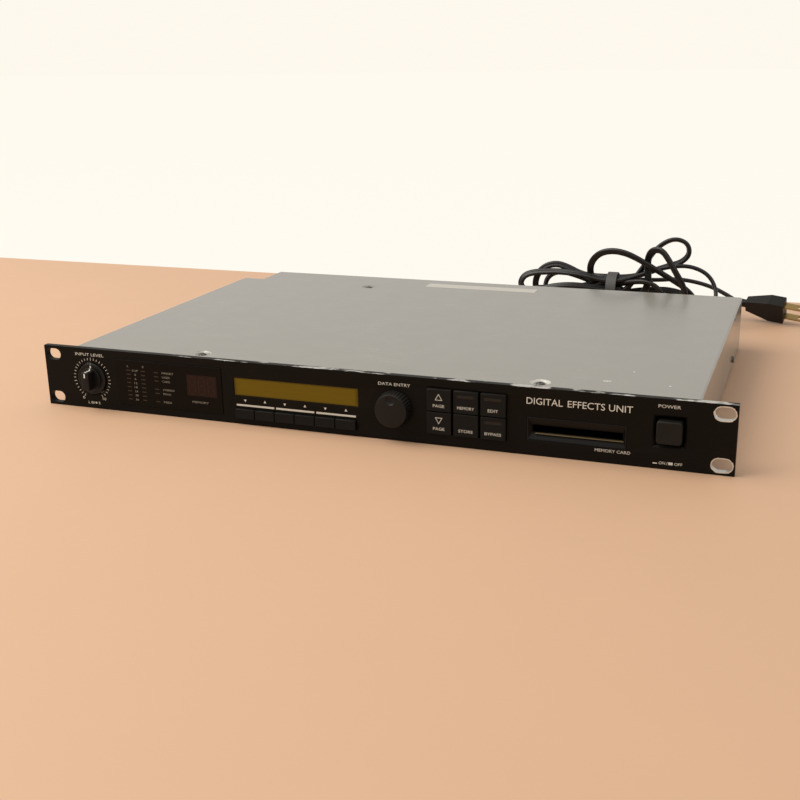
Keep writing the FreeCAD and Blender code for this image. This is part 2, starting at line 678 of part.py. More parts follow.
# ---------------------------------------------------------------- card slot
def make_card_slot():
    bezel = slab("card_x", "-panel_thick", "card_z", "card_bezel_width", "panel_thick + 3", "card_bezel_height")
    flange = slab("card_x", "0", "card_z", "card_bezel_width + 2 * pane_flange", "1",
                  "card_bezel_height + 2 * pane_flange")
    rim = fuse("bezel blank", bezel, flange)
    scoop = funnel("card_x", "card_z", "-panel_thick - 0.01", "card_scoop", "card_bezel_width - 1.6",
                   "card_bezel_height - 1.6", "card_slot_z", "card_slot_width", "card_slot_height")
    throat = slab("card_x", "-panel_thick", "card_slot_z", "card_slot_width", "12", "card_slot_height")
    node(cut("card_bezel", rim, scoop, throat))
    cage = slab("card_x", "3", "card_slot_z", "card_slot_width + 2 * card_wall", "card_depth",
                "card_slot_height + 2 * card_wall")
    bay = slab("card_x", "2", "card_slot_z", "card_slot_width", "card_depth - 5", "card_slot_height")
    legs = [block(f"card_x + ({side}) * 24 - 3", "14", "case_bottom + sheet", "6", "20",
                  "card_slot_z - card_slot_height / 2 - 1 - (case_bottom + sheet)") for side in (-1, 1)]
    node(cut("card_cage", fuse("card cage blank", cage, *legs), bay))


make_card_slot()


# ---------------------------------------------------------------- boards and power supply
MAIN_Z = "case_bottom + sheet + 6"
CHIP_Z = f"{MAIN_Z} + board_thick"
main_blank = block("-192", "58", MAIN_Z, "287", "case_depth - 83", "board_thick")
node(cut("main_board", main_blank, rod("5", "4", "rear_dish_x", "rear_dish_y", f"{MAIN_Z} - 1", "Z")))
POWER_Y = "case_depth - 143"
board_corners = [(x, y) for x in ("-186", "-50", "88") for y in ("64", "case_depth - 31")]
board_corners += [(x, f"{POWER_Y} + {y}") for x in ("110", "202") for y in (6, 106)]
standoffs = [rod("3", "6", x, y, "case_bottom + sheet", "Z") for x, y in board_corners]
node(group("board_standoffs", *front_posts, *standoffs))

chips = []
for column in range(5):
    for row in range(4):
        wide, deep = ("32", "14") if (column + row) % 3 else ("20", "20")
        chips.append(block(f"-176 + 50 * {column}", f"80 + 38 * {row}", CHIP_Z, wide, deep, "3.5"))
node(group("logic_chips", *chips))


def make_power_supply():
    board = block("104", POWER_Y, MAIN_Z, "104", "112", "board_thick")
    mains_fuse = rod("2.6", "20", "124", f"{POWER_Y} + 90", f"{CHIP_Z} + 5", "X")
    clips = [block(x, f"{POWER_Y} + 86.4", CHIP_Z, "3", "7.2", "8") for x in ("125", "140")]
    inlet_terminal = block("relief_x - 8", f"{POWER_Y} + 96", CHIP_Z, "16", "8", "8")
    switch_terminal = block("relief_x - 11", POWER_Y, CHIP_Z, "16", "8", "8")
    node(fuse("power_board", board, mains_fuse, *clips, inlet_terminal, switch_terminal))
    node(group("filter_capacitors", *[rod("9", "26", f"118 + 20 * {number}", f"{POWER_Y} + 22", CHIP_Z, "Z")
                                      for number in range(3)]))
    plate = block("112", f"{POWER_Y} + 46", CHIP_Z, "80", "3", "28")
    fins = [block(f"112 + 8.66 * {number}", f"{POWER_Y} + 48", CHIP_Z, "2", "16", "28") for number in range(10)]
    regulators = [block(f"118 + 19 * {number}", f"{POWER_Y} + 41.5", f"{CHIP_Z} + 3", "11", "5", "18")
                  for number in range(4)]
    node(fuse("heat_sink", plate, *fins, *regulators))
    core = block("120", "66", "case_bottom + sheet", "66", "52", "34")
    windings = block("131", "58", "case_bottom + sheet + 7", "44", "68", "22")
    node(fuse("transformer", core, windings))


make_power_supply()


# ---------------------------------------------------------------- rear connectors
def xlr_socket(x, female):
    """A panel socket with its flange, and three contacts."""
    shell = rod("xlr_radius", "xlr_depth + sheet", x, "case_depth - sheet - xlr_depth", JACK_Z)
    flange = slab(x, "case_depth", JACK_Z, "xlr_flange_x", "connector_flange", "xlr_flange_z")
    blank = fuse("xlr blank", shell, rounded("xlr flange", flange, 2.0, V(0, 1, 0)))
    contacts = [(0.0, 4.0), (3.5, -2.0), (-3.5, -2.0)]
    if female:
        groove = cut("groove", rod("10", "12", x, "case_depth + connector_flange - 11", JACK_Z),
                     rod("7.6", "12", x, "case_depth + connector_flange - 11.5", JACK_Z))
        holes = [rod("1.3", "10", f"{x} + ({dx})", "case_depth + connector_flange - 9", f"{dz}")
                 for dx, dz in contacts]
        return cut("xlr", blank, groove, *holes)
    well = rod("9.6", "14", x, "case_depth + connector_flange - 13", JACK_Z)
    pins = [rod("1.15", "9", f"{x} + ({dx})", "case_depth + connector_flange - 14", f"{dz}")
            for dx, dz in contacts]
    return fuse("xlr", cut("xlr shell", blank, well), *pins)


node(group("xlr_inputs", *[xlr_socket(x, True) for x in XLR_IN_X]))
node(group("xlr_outputs", *[xlr_socket(x, False) for x in XLR_OUT_X]))


def phone_jack(x):
    case = slab(x, "case_depth - sheet - jack_depth", JACK_Z, "2 * jack_body", "jack_depth", "2 * jack_body")
    nose = rod("jack_nose", "sheet + 3", x, "case_depth - sheet", JACK_Z)
    ring = rod("6.4", "2", x, "case_depth", JACK_Z)
    bore = rod("jack_bore", "jack_depth - 2 + sheet + 3", x, "case_depth - sheet - jack_depth + 2.5", JACK_Z)
    return cut("jack", fuse("jack blank", case, nose, ring), bore)


node(group("phone_jacks", *[phone_jack(x) for x in JACK_IN_X + JACK_OUT_X + (FOOT_JACK_X,)]))


def midi_socket(x):
    shell = rod("midi_radius", "midi_depth + sheet", x, "case_depth - sheet - midi_depth", JACK_Z)
    rim = rod("midi_radius + 2", "1.4", x, "case_depth", JACK_Z)
    groove = cut("groove", rod("7", "9", x, "case_depth + 1.4 - 8.5", JACK_Z),
                 rod("5.4", "10", x, "case_depth + 1.4 - 9", JACK_Z))
    holes = []
    for number in range(5):
        angle = math.radians(180 - 45 * number)
        holes.append(rod("0.8", "8", f"{x} + ({3.6 * math.cos(angle):.4f})", "case_depth + 1.4 - 7",
                         f"{3.6 * math.sin(angle):.4f}" if number not in (0, 4) else "0"))
    return cut("midi", fuse("midi blank", shell, rim), groove, *holes)


node(group("midi_sockets", *[midi_socket(x) for x in MIDI_X]))


def make_level_switch(x, label):
    """A slide switch behind the rear panel. Its lever moves up and down in the slot."""
    lever = slab(x, "case_depth - 5.5", "-2.5", "3", "6.5", "4.4")
    return node(lever, label)


switch_cases = []
for x in (SWITCH_IN_X, SWITCH_OUT_X):
    case = slab(x, "case_depth - sheet - 10", JACK_Z, "9", "10", "19")
    track = slab(x, "case_depth - sheet - 6", JACK_Z, "3 + 2 * gap", "7", "9.4 + 2 * gap")
    switch_cases.append(cut("switch case", case, track))
node(group("level_switches", *switch_cases))
make_level_switch(SWITCH_IN_X, "input_level_lever")
make_level_switch(SWITCH_OUT_X, "output_level_lever")


# ---------------------------------------------------------------- cables
def tube_path(points):
    """Straight runs joined by tangent arcs, each as large as its two runs allow."""
    edges = []
    start = points[0]
    radii = []
    for before, corner, after in zip(points, points[1:], points[2:]):
        one, two = before - corner, after - corner
        shorter = min(one.Length, two.Length)
        half_turn = (math.pi - one.getAngle(two)) / 2
        back = 0.45 * shorter
        radii.append(back / math.tan(half_turn))
        one.normalize()
        two.normalize()
        enter, leave = corner + one * back, corner + two * back
        inward = one + two
        inward.normalize()
        depth = radii[-1] * (1 / math.cos(half_turn) - 1)
        edges.append(Part.LineSegment(start, enter).toShape())
        edges.append(Part.Arc(enter, corner + inward * depth, leave).toShape())
        start = leave
    edges.append(Part.LineSegment(start, points[-1]).toShape())
    return Part.Wire(edges), radii


def tube(label, points, radius):
    points = [V(*point) for point in points]
    path, radii = tube_path(points)
    ring = Part.Wire(Part.Circle(points[0], points[1] - points[0], radius).toShape())
    solid = path.makePipeShell([ring], True, True)
    expected = math.pi * radius ** 2 * path.Length
    print(label, "length", round(path.Length, 1), "smallest radius", round(min(radii), 1),
          "volume ratio", round(solid.Volume / expected, 3))
    assert abs(solid.Volume / expected - 1) < 0.03, label + ": volume is off"
    item = doc.addObject("Part::Feature", label)
    item.Shape = solid
    item.Label = label
    return item


def make_strain_relief():
    outer = cone("relief_base - 0.6", "relief_tip", "relief_length", "relief_x", "case_depth", "relief_z")
    collar = rod("relief_base + 1.2", "2", "relief_x", "case_depth", "relief_z")
    neck = rod("relief_base - seat", "sheet", "relief_x", "case_depth - sheet", "relief_z")
    inside = rod("relief_base + 1", "7", "relief_x", "case_depth - sheet - 7", "relief_z")
    return node(fuse("strain_relief", outer, collar, neck, inside))


make_strain_relief()

RELIEF_X = value("relief_x")
RELIEF_Z = value("relief_z")
RELIEF_OUT = value("case_depth + relief_length")
RELIEF_IN = value("case_depth - sheet") - 7
CORD_R = value("cord_tube")
WIRE_R = 2.0

# Inside the case one lead runs from the strain relief to the power board,
# the other from the power board forward along the right side to the power switch.
INLET_END = value(POWER_Y) + 104
INLET_ROUTE = [(RELIEF_X, RELIEF_IN, RELIEF_Z), (RELIEF_X, RELIEF_IN - 15, -8.6), (RELIEF_X, INLET_END, -9.0)]
SWITCH_X = value("power_x")
SWITCH_END = value(POWER_Y)
SWITCH_ROUTE = [(SWITCH_X, 33.4, 0.0), (SWITCH_X, 56.0, -2.0), (SWITCH_X - 2, 84.0, -6.0),
                (SWITCH_X - 6, 112.0, -9.0), (RELIEF_X - 3, SWITCH_END - 16, -9.4),
                (RELIEF_X - 3, SWITCH_END, -9.4)]
node(group("mains_wiring", tube("inlet lead", INLET_ROUTE, WIRE_R), tube("switch lead", SWITCH_ROUTE, WIRE_R)))


def behind(x, y, z):
    """A point from where the cord leaves its strain relief, at a height in the frame."""
    return RELIEF_X + x, RELIEF_OUT + y, z


LEAD_ROUTE = [behind(0, 0, RELIEF_Z), behind(0, 18, RELIEF_Z), behind(1, 34, -2), behind(2, 46, 10),
              behind(-6, 50, 24), behind(-22, 49, 31), behind(-38, 48, 30)]
node(tube("cord_lead", LEAD_ROUTE, CORD_R))

# The plug lies on its side behind the rear right corner: PLUG_AXIS points along its blades,
# PLUG_WIDE from the lower blade to the upper one.
PLUG_AXIS = V(0.975, -0.2, -0.09).normalize()
PLUG_WIDE = V(0.04, -0.556, 0.83)
PLUG_FRONT = V(*behind(59, 70, -9))
PLUG_BLOCK = 13.0
PLUG_TAPER = 21.0
PLUG_NECK = 8.0
PLUG_WIDTH = 22.0
PLUG_DEPTH = 12.0
BLADE_LENGTH = 17.0
BLADE_PITCH = 12.7
turn = FreeCAD.Rotation(PLUG_WIDE, PLUG_AXIS, V(0, 0, 0), "YXZ")


def on_plug(item, x, y, z):
    """Places a piece in the plug's own frame: x along its width, y along its blades."""
    own = FreeCAD.Placement(V(x, y, z), item.Placement.Rotation)
    item.Placement = FreeCAD.Placement(PLUG_FRONT, turn).multiply(own)
    return item


def plug_box(wide, length, deep, x, y, z):
    item = doc.addObject("Part::Box", "PlugBlock")
    item.Length, item.Width, item.Height = wide, length, deep
    return on_plug(item, x - wide / 2, y, z - deep / 2)


def make_plug():
    taper = doc.addObject("Part::Wedge", "PlugTaper")
    rear_wide, rear_deep = 11.0, 8.0
    taper.Xmin, taper.Xmax = -rear_wide / 2, rear_wide / 2
    taper.Zmin, taper.Zmax = -rear_deep / 2, rear_deep / 2
    taper.X2min, taper.X2max = -PLUG_WIDTH / 2, PLUG_WIDTH / 2
    taper.Z2min, taper.Z2max = -PLUG_DEPTH / 2, PLUG_DEPTH / 2
    taper.Ymin, taper.Ymax = 0, PLUG_TAPER
    on_plug(taper, 0, -PLUG_BLOCK - PLUG_TAPER, 0)
    front = plug_box(PLUG_WIDTH, PLUG_BLOCK, PLUG_DEPTH, 0, -PLUG_BLOCK, 0)
    neck = doc.addObject("Part::Cylinder", "PlugNeck")
    neck.Radius, neck.Height = 3.6, PLUG_NECK + 1
    neck.Placement.Rotation = TURNS["Y"]
    on_plug(neck, 0, -PLUG_BLOCK - PLUG_TAPER - PLUG_NECK, 0)
    node(fuse("plug_body", front, taper, neck))
    blades = []
    for side in (-0.5, 0.5):
        blade = plug_box(1.5, BLADE_LENGTH, 6.3, side * BLADE_PITCH, 0, 0)
        hole = doc.addObject("Part::Cylinder", "BladeHole")
        hole.Radius, hole.Height = 1.6, 4
        hole.Placement.Rotation = TURNS["X"]
        on_plug(hole, side * BLADE_PITCH - 2, BLADE_LENGTH - 4, 0)
        blades.append(cut("blade", blade, hole))
    node(group("plug_blades", *blades))


make_plug()
PLUG_END = PLUG_FRONT - PLUG_AXIS * (PLUG_BLOCK + PLUG_TAPER + PLUG_NECK)
TAIL_ROUTE = [behind(-51, 58, 15), behind(-38, 70, 14.5), behind(-24, 77, 12), behind(-9, 80, 8),
              behind(5, 80.5, 2), tuple(PLUG_END)]
node(tube("cord_tail", TAIL_ROUTE, CORD_R))


HANK_Y = "case_depth + relief_length + 48"
HANK_Z = "8"


def loops(x, z, wide, thick, tall):
    """A flat bundle of loops with round ends, centred beside the strain relief's axis."""
    bundle = slab(f"relief_x + ({x})", f"{HANK_Y} - {thick} / 2", str(z), str(wide), str(thick), str(tall))
    return rounded("loops", bundle, 0.49 * min(wide, tall), V(0, 1, 0))


def make_hank():
    band = rod("neck_radius + tie_wall", "tie_width", "tie_x - tie_width / 2", HANK_Y, HANK_Z, "X")
    inside = rod("neck_radius", "tie_width + 2", "tie_x - tie_width / 2 - 1", HANK_Y, HANK_Z, "X")
    tie = node(cut("cord_tie", band, inside))
    neck = rod("neck_radius", "75", "relief_x - 130", HANK_Y, HANK_Z, "X")
    bundles = [loops(-140, 2.2, 76, 28, 48), loops(-98, 22, 28, 18, 38), loops(-58, 11, 34, 26, 65),
               loops(-42, 16.2, 36, 30, 75)]
    node(cut("cord_hank", fuse("hank blank", neck, *bundles), tie))


make_hank()


def make_ribbon():
    """A flat cable from the front board back to the main board."""
    drop = block("-40", "board_y + board_thick", "-8", "30", "1", "14")
    run = block("-40", "board_y + board_thick", "-9", "30", "66 - board_y - board_thick", "1")
    end = block("-40", "65", CHIP_Z, "30", "1", f"-8 - ({CHIP_Z})")
    return node(fuse("ribbon_cable", drop, run, end))


make_ribbon()

# ---------------------------------------------------------------- checks and export
doc.recompute()
labels = [item.Label for item in NODES]
assert len(labels) == len(set(labels)), "two nodes share a label"
assert len(labels) <= 60, "too many nodes: " + str(len(labels))
for item in doc.Objects:
    assert not {"Invalid", "Error"} & set(item.State), f"{item.Label} failed: {item.State}"
for item in NODES:
    shape = item.Shape
    assert not shape.isNull() and shape.isValid() and shape.Volume > 0, item.Label + " has no valid shape"
for item in NODES:
    item.Shape.exportStep(os.path.join("parts", item.Label + ".step"))
print(len(NODES), "nodes written")
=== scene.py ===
import math

import bmesh
import bpy
from mathutils import Matrix, Vector


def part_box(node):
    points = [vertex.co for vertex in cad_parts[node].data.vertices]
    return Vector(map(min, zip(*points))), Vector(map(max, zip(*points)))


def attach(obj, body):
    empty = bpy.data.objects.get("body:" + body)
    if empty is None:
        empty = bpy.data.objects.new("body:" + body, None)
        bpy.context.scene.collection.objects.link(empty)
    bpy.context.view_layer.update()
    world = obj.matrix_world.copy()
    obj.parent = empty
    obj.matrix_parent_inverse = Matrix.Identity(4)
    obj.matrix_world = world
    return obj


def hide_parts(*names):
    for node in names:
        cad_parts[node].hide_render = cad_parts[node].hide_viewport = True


bl_info = {
    "name": "Rack effects unit",
    "version": (1, 0, 0),
    "blender": (4, 5, 0),
    "location": "3D View > Sidebar > Effects unit",
    "description": "Builds the visual pieces of a one-space rack effects unit on its CAD frame",
    "category": "Object",
}

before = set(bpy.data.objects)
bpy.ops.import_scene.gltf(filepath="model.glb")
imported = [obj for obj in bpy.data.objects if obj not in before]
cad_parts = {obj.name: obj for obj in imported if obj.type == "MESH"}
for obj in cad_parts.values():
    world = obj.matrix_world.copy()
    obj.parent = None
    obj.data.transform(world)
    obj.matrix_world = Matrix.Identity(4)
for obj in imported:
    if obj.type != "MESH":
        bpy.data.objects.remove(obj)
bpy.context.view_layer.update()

MM = 0.001
PANEL_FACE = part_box("front_panel")[0].y
CASE_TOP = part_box("top_cover")[1].z
FLOOR_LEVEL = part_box("chassis_tray")[0].z
REAR_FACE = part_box("rear_panel")[1].y

# Rack slots of the front plate, in metres from its middle: how far out, how far up, and half of their
# straight stretch.
SLOT_OUT = 0.23255
SLOT_UP = 0.015875
SLOT_STRAIGHT = 0.0019
# Level control, in metres: the outer ring, and the bar grip on its disc.
RING_RADIUS = 0.0114
RING_BORE = 0.003
DISC_RADIUS = 0.008
GRIP_HALF_WIDTH = 0.0031
GRIP_HALF_HEIGHT = 0.0066


# ---------------------------------------------------------------- settings
def length(name, description, default):
    return bpy.props.FloatProperty(name=name, description=description, default=default, unit="LENGTH",
                                   precision=5)


def colour(name, description, default):
    return bpy.props.FloatVectorProperty(name=name, description=description, default=default,
                                         subtype="COLOR", size=3, min=0.0, max=1.0)


class EffectsSizes(bpy.types.PropertyGroup):
    """Sizes of the small shapes that the CAD leaves plain."""

    print_depth: length("Print depth", "How far printed lettering stands off its face", 0.00003)
    plate_edge: length("Plate edge", "Rounding of the front plate's edges", 0.00028)
    cover_bend: length("Cover bend", "Outer radius of the cover's folded edges", 0.0013)
    key_edge: length("Key edge", "Rounding round the front of each key", 0.00035)
    button_edge: length("Button edge", "Rounding round the front of the power button", 0.0009)
    cord_width: length("Cord width", "Width of the flat two-core mains cord", 0.0062)
    cord_thickness: length("Cord thickness", "Thickness of the flat two-core mains cord", 0.0035)


class EffectsColours(bpy.types.PropertyGroup):
    """Paints, plastics and prints."""

    panel: colour("Panel paint", "Satin enamel of the front plate", (0.0052, 0.0040, 0.0029))
    cover: colour("Cover paint", "Semi-gloss enamel of the cover", (0.272, 0.258, 0.222))
    keys: colour("Key plastic", "Plastic of the keys", (0.0075, 0.0076, 0.0068))
    knobs: colour("Knob plastic", "Plastic of the dial, level knobs and power button",
                  (0.0060, 0.0057, 0.0050))
    print: colour("Lettering", "Ink of the printed words and marks", (0.62, 0.59, 0.51))
    window: colour("Meter window", "Smoked pane over the meter", (0.0020, 0.0015, 0.0010))
    display: colour("Display", "Unlit liquid crystal display", (0.150, 0.096, 0.0030))
    label: colour("Label", "Paper strip on the cover", (0.52, 0.49, 0.44))
    cord: colour("Cord jacket", "Jacket of the mains cord and plug", (0.0085, 0.0078, 0.0070))
    floor: colour("Floor", "Plain floor of the studio", (0.64, 0.40, 0.25))


def sizes():
    return bpy.context.scene.effects_sizes


def colours():
    return bpy.context.scene.effects_colours


# ---------------------------------------------------------------- shader helpers
class Net:
    """Adds nodes to a shader tree and joins them."""

    def __init__(self, tree):
        self.tree = tree

    def add(self, kind, inputs=None, **settings):
        made = self.tree.nodes.new(kind)
        for name, value in settings.items():
            setattr(made, name, value)
        for name, value in (inputs or {}).items():
            if isinstance(value, bpy.types.NodeSocket):
                self.tree.links.new(value, made.inputs[name])
            else:
                made.inputs[name].default_value = value
        return made

    def math(self, operation, first, second=0.0, clamp=False):
        made = self.add("ShaderNodeMath", {0: first, 1: second}, operation=operation, use_clamp=clamp)
        return made.outputs[0]

    def plus(self, first, second, clamp=False):
        return self.math("ADD", first, second, clamp)

    def less(self, first, second):
        return self.math("SUBTRACT", first, second)

    def times(self, first, second):
        return self.math("MULTIPLY", first, second)

    def step(self, value, low, high):
        """0 below low, 1 above high, and even between them."""
        ends = {"Value": value, "From Min": low, "From Max": high}
        return self.add("ShaderNodeMapRange", ends, clamp=True).outputs[0]

    def mix(self, amount, first, second):
        made = self.add("ShaderNodeMix", {0: amount, 6: first, 7: second}, data_type="RGBA")
        return made.outputs[2]

    def noise(self, place, scale, detail=2.0):
        return self.add("ShaderNodeTexNoise", {"Vector": place, "Scale": scale, "Detail": detail}).outputs[0]

    def place(self):
        return self.add("ShaderNodeTexCoord").outputs["Object"]

    def turned_place(self, turn, stretch):
        """Object coordinates, turned and stretched."""
        given = {"Vector": self.place(), "Rotation": turn, "Scale": stretch}
        return self.add("ShaderNodeMapping", given).outputs[0]

    def reach(self, first, second):
        """How far a point is from the middle, from its distances along two axes."""
        squares = self.plus(self.times(first, first), self.times(second, second))
        return self.math("SQRT", squares)


def new_group(name, inputs, outputs):
    """A node group with named sockets; inputs is a list of (name, kind, default)."""
    tree = bpy.data.node_groups.new(name, "ShaderNodeTree")
    for label, kind, default in inputs:
        socket = tree.interface.new_socket(name=label, in_out="INPUT", socket_type=kind)
        socket.default_value = default
    for label, kind in outputs:
        tree.interface.new_socket(name=label, in_out="OUTPUT", socket_type=kind)
    net = Net(tree)
    return tree, net, net.add("NodeGroupInput").outputs, net.add("NodeGroupOutput").inputs


def grain_group():
    """Fine mottling of a paint or plastic, with a matching height."""
    tree, net, given, result = new_group(
        "Grain",
        [("Color", "NodeSocketColor", (0.5, 0.5, 0.5, 1)), ("Scale", "NodeSocketFloat", 900.0),
         ("Spread", "NodeSocketFloat", 0.1)],
        [("Color", "NodeSocketColor"), ("Height", "NodeSocketFloat")])
    place = net.place()
    fine = net.noise(place, given["Scale"], 3.0)
    broad = net.noise(place, net.times(given["Scale"], 0.03), 2.0)
    both = net.plus(net.times(fine, 0.6), net.times(broad, 0.4))
    lift = net.plus(1.0, net.times(net.less(both, 0.5), given["Spread"]))
    toned = net.add("ShaderNodeVectorMath", {0: given["Color"], "Scale": lift}, operation="SCALE")
    net.tree.links.new(toned.outputs[0], result["Color"])
    net.tree.links.new(fine, result["Height"])
    return tree


def smear_group():
    """Roughness that wanders a little, as handled surfaces do."""
    tree, net, given, result = new_group(
        "Smears",
        [("Roughness", "NodeSocketFloat", 0.5), ("Spread", "NodeSocketFloat", 0.15),
         ("Scale", "NodeSocketFloat", 30.0)],
        [("Roughness", "NodeSocketFloat")])
    cloud = net.noise(net.turned_place((0, 0, 0.5), (1, 2.2, 1)), given["Scale"], 4.0)
    wander = net.times(net.less(cloud, 0.5), given["Spread"])
    net.tree.links.new(net.plus(given["Roughness"], wander, clamp=True), result["Roughness"])
    return tree


def scratch_group():
    """Hair scratches in two directions, gathered in patches."""
    tree, net, given, result = new_group(
        "Scratches",
        [("Amount", "NodeSocketFloat", 0.5), ("Scale", "NodeSocketFloat", 60.0)],
        [("Mask", "NodeSocketFloat")])
    lines = []
    for turn in (0.45, -0.9):
        line = net.noise(net.turned_place((0, turn, turn), (1, 26, 12)), given["Scale"], 1.0)
        near = net.math("ABSOLUTE", net.less(line, 0.5))
        lines.append(net.less(1.0, net.step(near, 0.0, 0.006)))
    patches = net.step(net.noise(net.place(), 24.0, 3.0), 0.52, 0.72)
    gathered = net.times(net.math("MAXIMUM", lines[0], lines[1]), patches)
    net.tree.links.new(net.times(gathered, given["Amount"]), result["Mask"])
    return tree


def dust_group():
    """Pale dust that settles on what faces up."""
    tree, net, given, result = new_group(
        "Dust",
        [("Color", "NodeSocketColor", (0.5, 0.5, 0.5, 1)),
         ("Dust", "NodeSocketColor", (0.42, 0.38, 0.31, 1)), ("Amount", "NodeSocketFloat", 0.2)],
        [("Color", "NodeSocketColor")])
    normal = net.add("ShaderNodeNewGeometry").outputs["Normal"]
    facing = net.add("ShaderNodeSeparateXYZ", {0: normal}).outputs[2]
    upward = net.step(facing, 0.2, 0.95)
    place = net.place()
    specks = net.step(net.noise(place, 1400.0, 1.0), 0.60, 0.68)
    film = net.step(net.noise(place, 45.0, 4.0), 0.35, 0.75)
    amount = net.times(upward, given["Amount"])
    settled = net.times(net.math("MAXIMUM", film, specks), amount)
    net.tree.links.new(net.mix(settled, given["Color"], given["Dust"]), result["Color"])
    return tree


def chip_group():
    """Bare metal where the plate's top edge and its four rack slots have lost their paint."""
    tree, net, given, result = new_group(
        "Plate wear",
        [("Edge height", "NodeSocketFloat", 0.02188), ("Ring width", "NodeSocketFloat", 0.0010)],
        [("Mask", "NodeSocketFloat")])
    place = net.place()
    axes = net.add("ShaderNodeSeparateXYZ", {0: place}).outputs
    along = net.less(net.math("ABSOLUTE", axes[0]), SLOT_OUT)
    along = net.math("MAXIMUM", net.less(net.math("ABSOLUTE", along), SLOT_STRAIGHT), 0.0)
    across = net.less(net.math("ABSOLUTE", axes[2]), SLOT_UP)
    reach = net.reach(along, across)
    ragged = net.times(net.noise(place, 700.0, 3.0), 0.0009)
    edge = net.less(net.plus(net.plus(given["Ring width"], 0.0033), ragged), reach)
    ring = net.step(edge, 0.0, 0.00015)
    chips = net.step(net.noise(net.turned_place((0, 0, 0), (0.35, 1, 1)), 150.0, 4.0), 0.54, 0.60)
    waver = net.times(net.less(net.noise(place, 260.0, 3.0), 0.5), 0.0005)
    height = net.plus(axes[2], waver)
    edge_band = net.step(net.less(height, given["Edge height"]), 0.0, 0.00012)
    chipped = net.times(edge_band, chips)
    net.tree.links.new(net.math("MAXIMUM", ring, chipped), result["Mask"])
    return tree


def ring_wear_group():
    """A rubbed ring round one screw dish of the cover, or a bare spot where the radius is 0."""
    tree, net, given, result = new_group(
        "Dish wear",
        [("Centre", "NodeSocketVector", (0.0, 0.0, 0.0)), ("Radius", "NodeSocketFloat", 0.0063),
         ("Width", "NodeSocketFloat", 0.0006), ("Amount", "NodeSocketFloat", 1.0)],
        [("Mask", "NodeSocketFloat")])
    place = net.place()
    gap = net.add("ShaderNodeVectorMath", {0: place, 1: given["Centre"]}, operation="SUBTRACT").outputs[0]
    axes = net.add("ShaderNodeSeparateXYZ", {0: gap}).outputs
    reach = net.reach(axes[0], axes[1])
    wobble = net.times(net.less(net.noise(place, 380.0, 3.0), 0.5), 0.0012)
    off = net.math("ABSOLUTE", net.less(net.plus(reach, wobble), given["Radius"]))
    inside = net.step(net.less(given["Width"], off), 0.0, 0.00012)
    net.tree.links.new(net.times(inside, given["Amount"]), result["Mask"])
    return tree


GROUPS = {}
FINISHES = {}


def build_groups():
    for name, maker in (("grain", grain_group), ("smear", smear_group), ("scratch", scratch_group),
                        ("dust", dust_group), ("chips", chip_group), ("ring", ring_wear_group)):
        GROUPS[name] = maker()


def place_group(net, name, **inputs):
    """One of the shared groups, placed in a material with its own values."""
    made = net.add("ShaderNodeGroup", node_tree=GROUPS[name])
    for label, value in inputs.items():
        socket = made.inputs[label.replace("_", " ")]
        if isinstance(value, bpy.types.NodeSocket):
            net.tree.links.new(value, socket)
        else:
            socket.default_value = value
    return made.outputs


class Finish:
    """One material: a toned colour, wandering roughness, fine bump, and what is laid over them."""

    def __init__(self, name, base, roughness, metallic=0.0, scale=900.0, spread=0.25, bump=0.05,
                 depth=0.00002, smear=0.15, dust=0.0, **sockets):
        self.material = bpy.data.materials.new(name)
        self.material.use_nodes = True
        self.net = Net(self.material.node_tree)
        self.shader = self.material.node_tree.nodes["Principled BSDF"]
        self.shader.inputs["Metallic"].default_value = metallic
        for label, value in sockets.items():
            self.shader.inputs[label.replace("_", " ")].default_value = value
        grain = place_group(self.net, "grain", Color=(*base, 1.0), Scale=scale, Spread=spread)
        self.colour = grain["Color"]
        self.roughness = place_group(self.net, "smear", Roughness=roughness, Spread=smear)["Roughness"]
        self.metallic = None
        self.dust = dust
        if bump:
            given = {"Height": grain["Height"], "Strength": bump, "Distance": depth}
            relief = self.net.add("ShaderNodeBump", given)
            self.net.tree.links.new(relief.outputs[0], self.shader.inputs["Normal"])
        FINISHES[name] = self

    def cover(self, mask, colour, roughness=None, metallic=None):
        """Another colour where the mask is 1, with its own roughness. A metalness given here takes the
        place of any given before."""
        self.colour = self.net.mix(mask, self.colour, (*colour, 1.0))
        if roughness is not None:
            kept = self.net.times(self.roughness, self.net.less(1.0, mask))
            self.roughness = self.net.plus(kept, self.net.times(mask, roughness))
        if metallic is not None:
            self.metallic = self.net.times(mask, metallic)
        return self

    def done(self):
        links = self.net.tree.links
        if self.dust:
            self.colour = place_group(self.net, "dust", Color=self.colour, Amount=self.dust)["Color"]
        links.new(self.colour, self.shader.inputs["Base Color"])
        links.new(self.roughness, self.shader.inputs["Roughness"])
        if self.metallic is not None:
            links.new(self.metallic, self.shader.inputs["Metallic"])
        return self.material


def panel_paint():
    """Black enamel of the plates, bare where hands and racks have rubbed it."""
    paint = Finish("satin black enamel", colours().panel, 0.43, scale=2600.0, spread=0.35, bump=0.25,
                   depth=0.00003, dust=0.05, Specular_IOR_Level=0.10)
    paint.cover(place_group(paint.net, "scratch", Amount=0.35, Scale=70.0)["Mask"], (0.045, 0.039, 0.032))
    across = paint.net.add("ShaderNodeSeparateXYZ", {0: paint.net.place()}).outputs[0]
    handled = paint.net.step(across, -0.15, -0.09)
    bare = paint.net.times(place_group(paint.net, "chips")["Mask"], handled)
    return paint.cover(bare, (0.72, 0.70, 0.65), 0.34, 0.8).done()


# Middles of the cover's two front screw dishes.
DISH_OUT = 0.1196
DISH_BACK = 0.0109
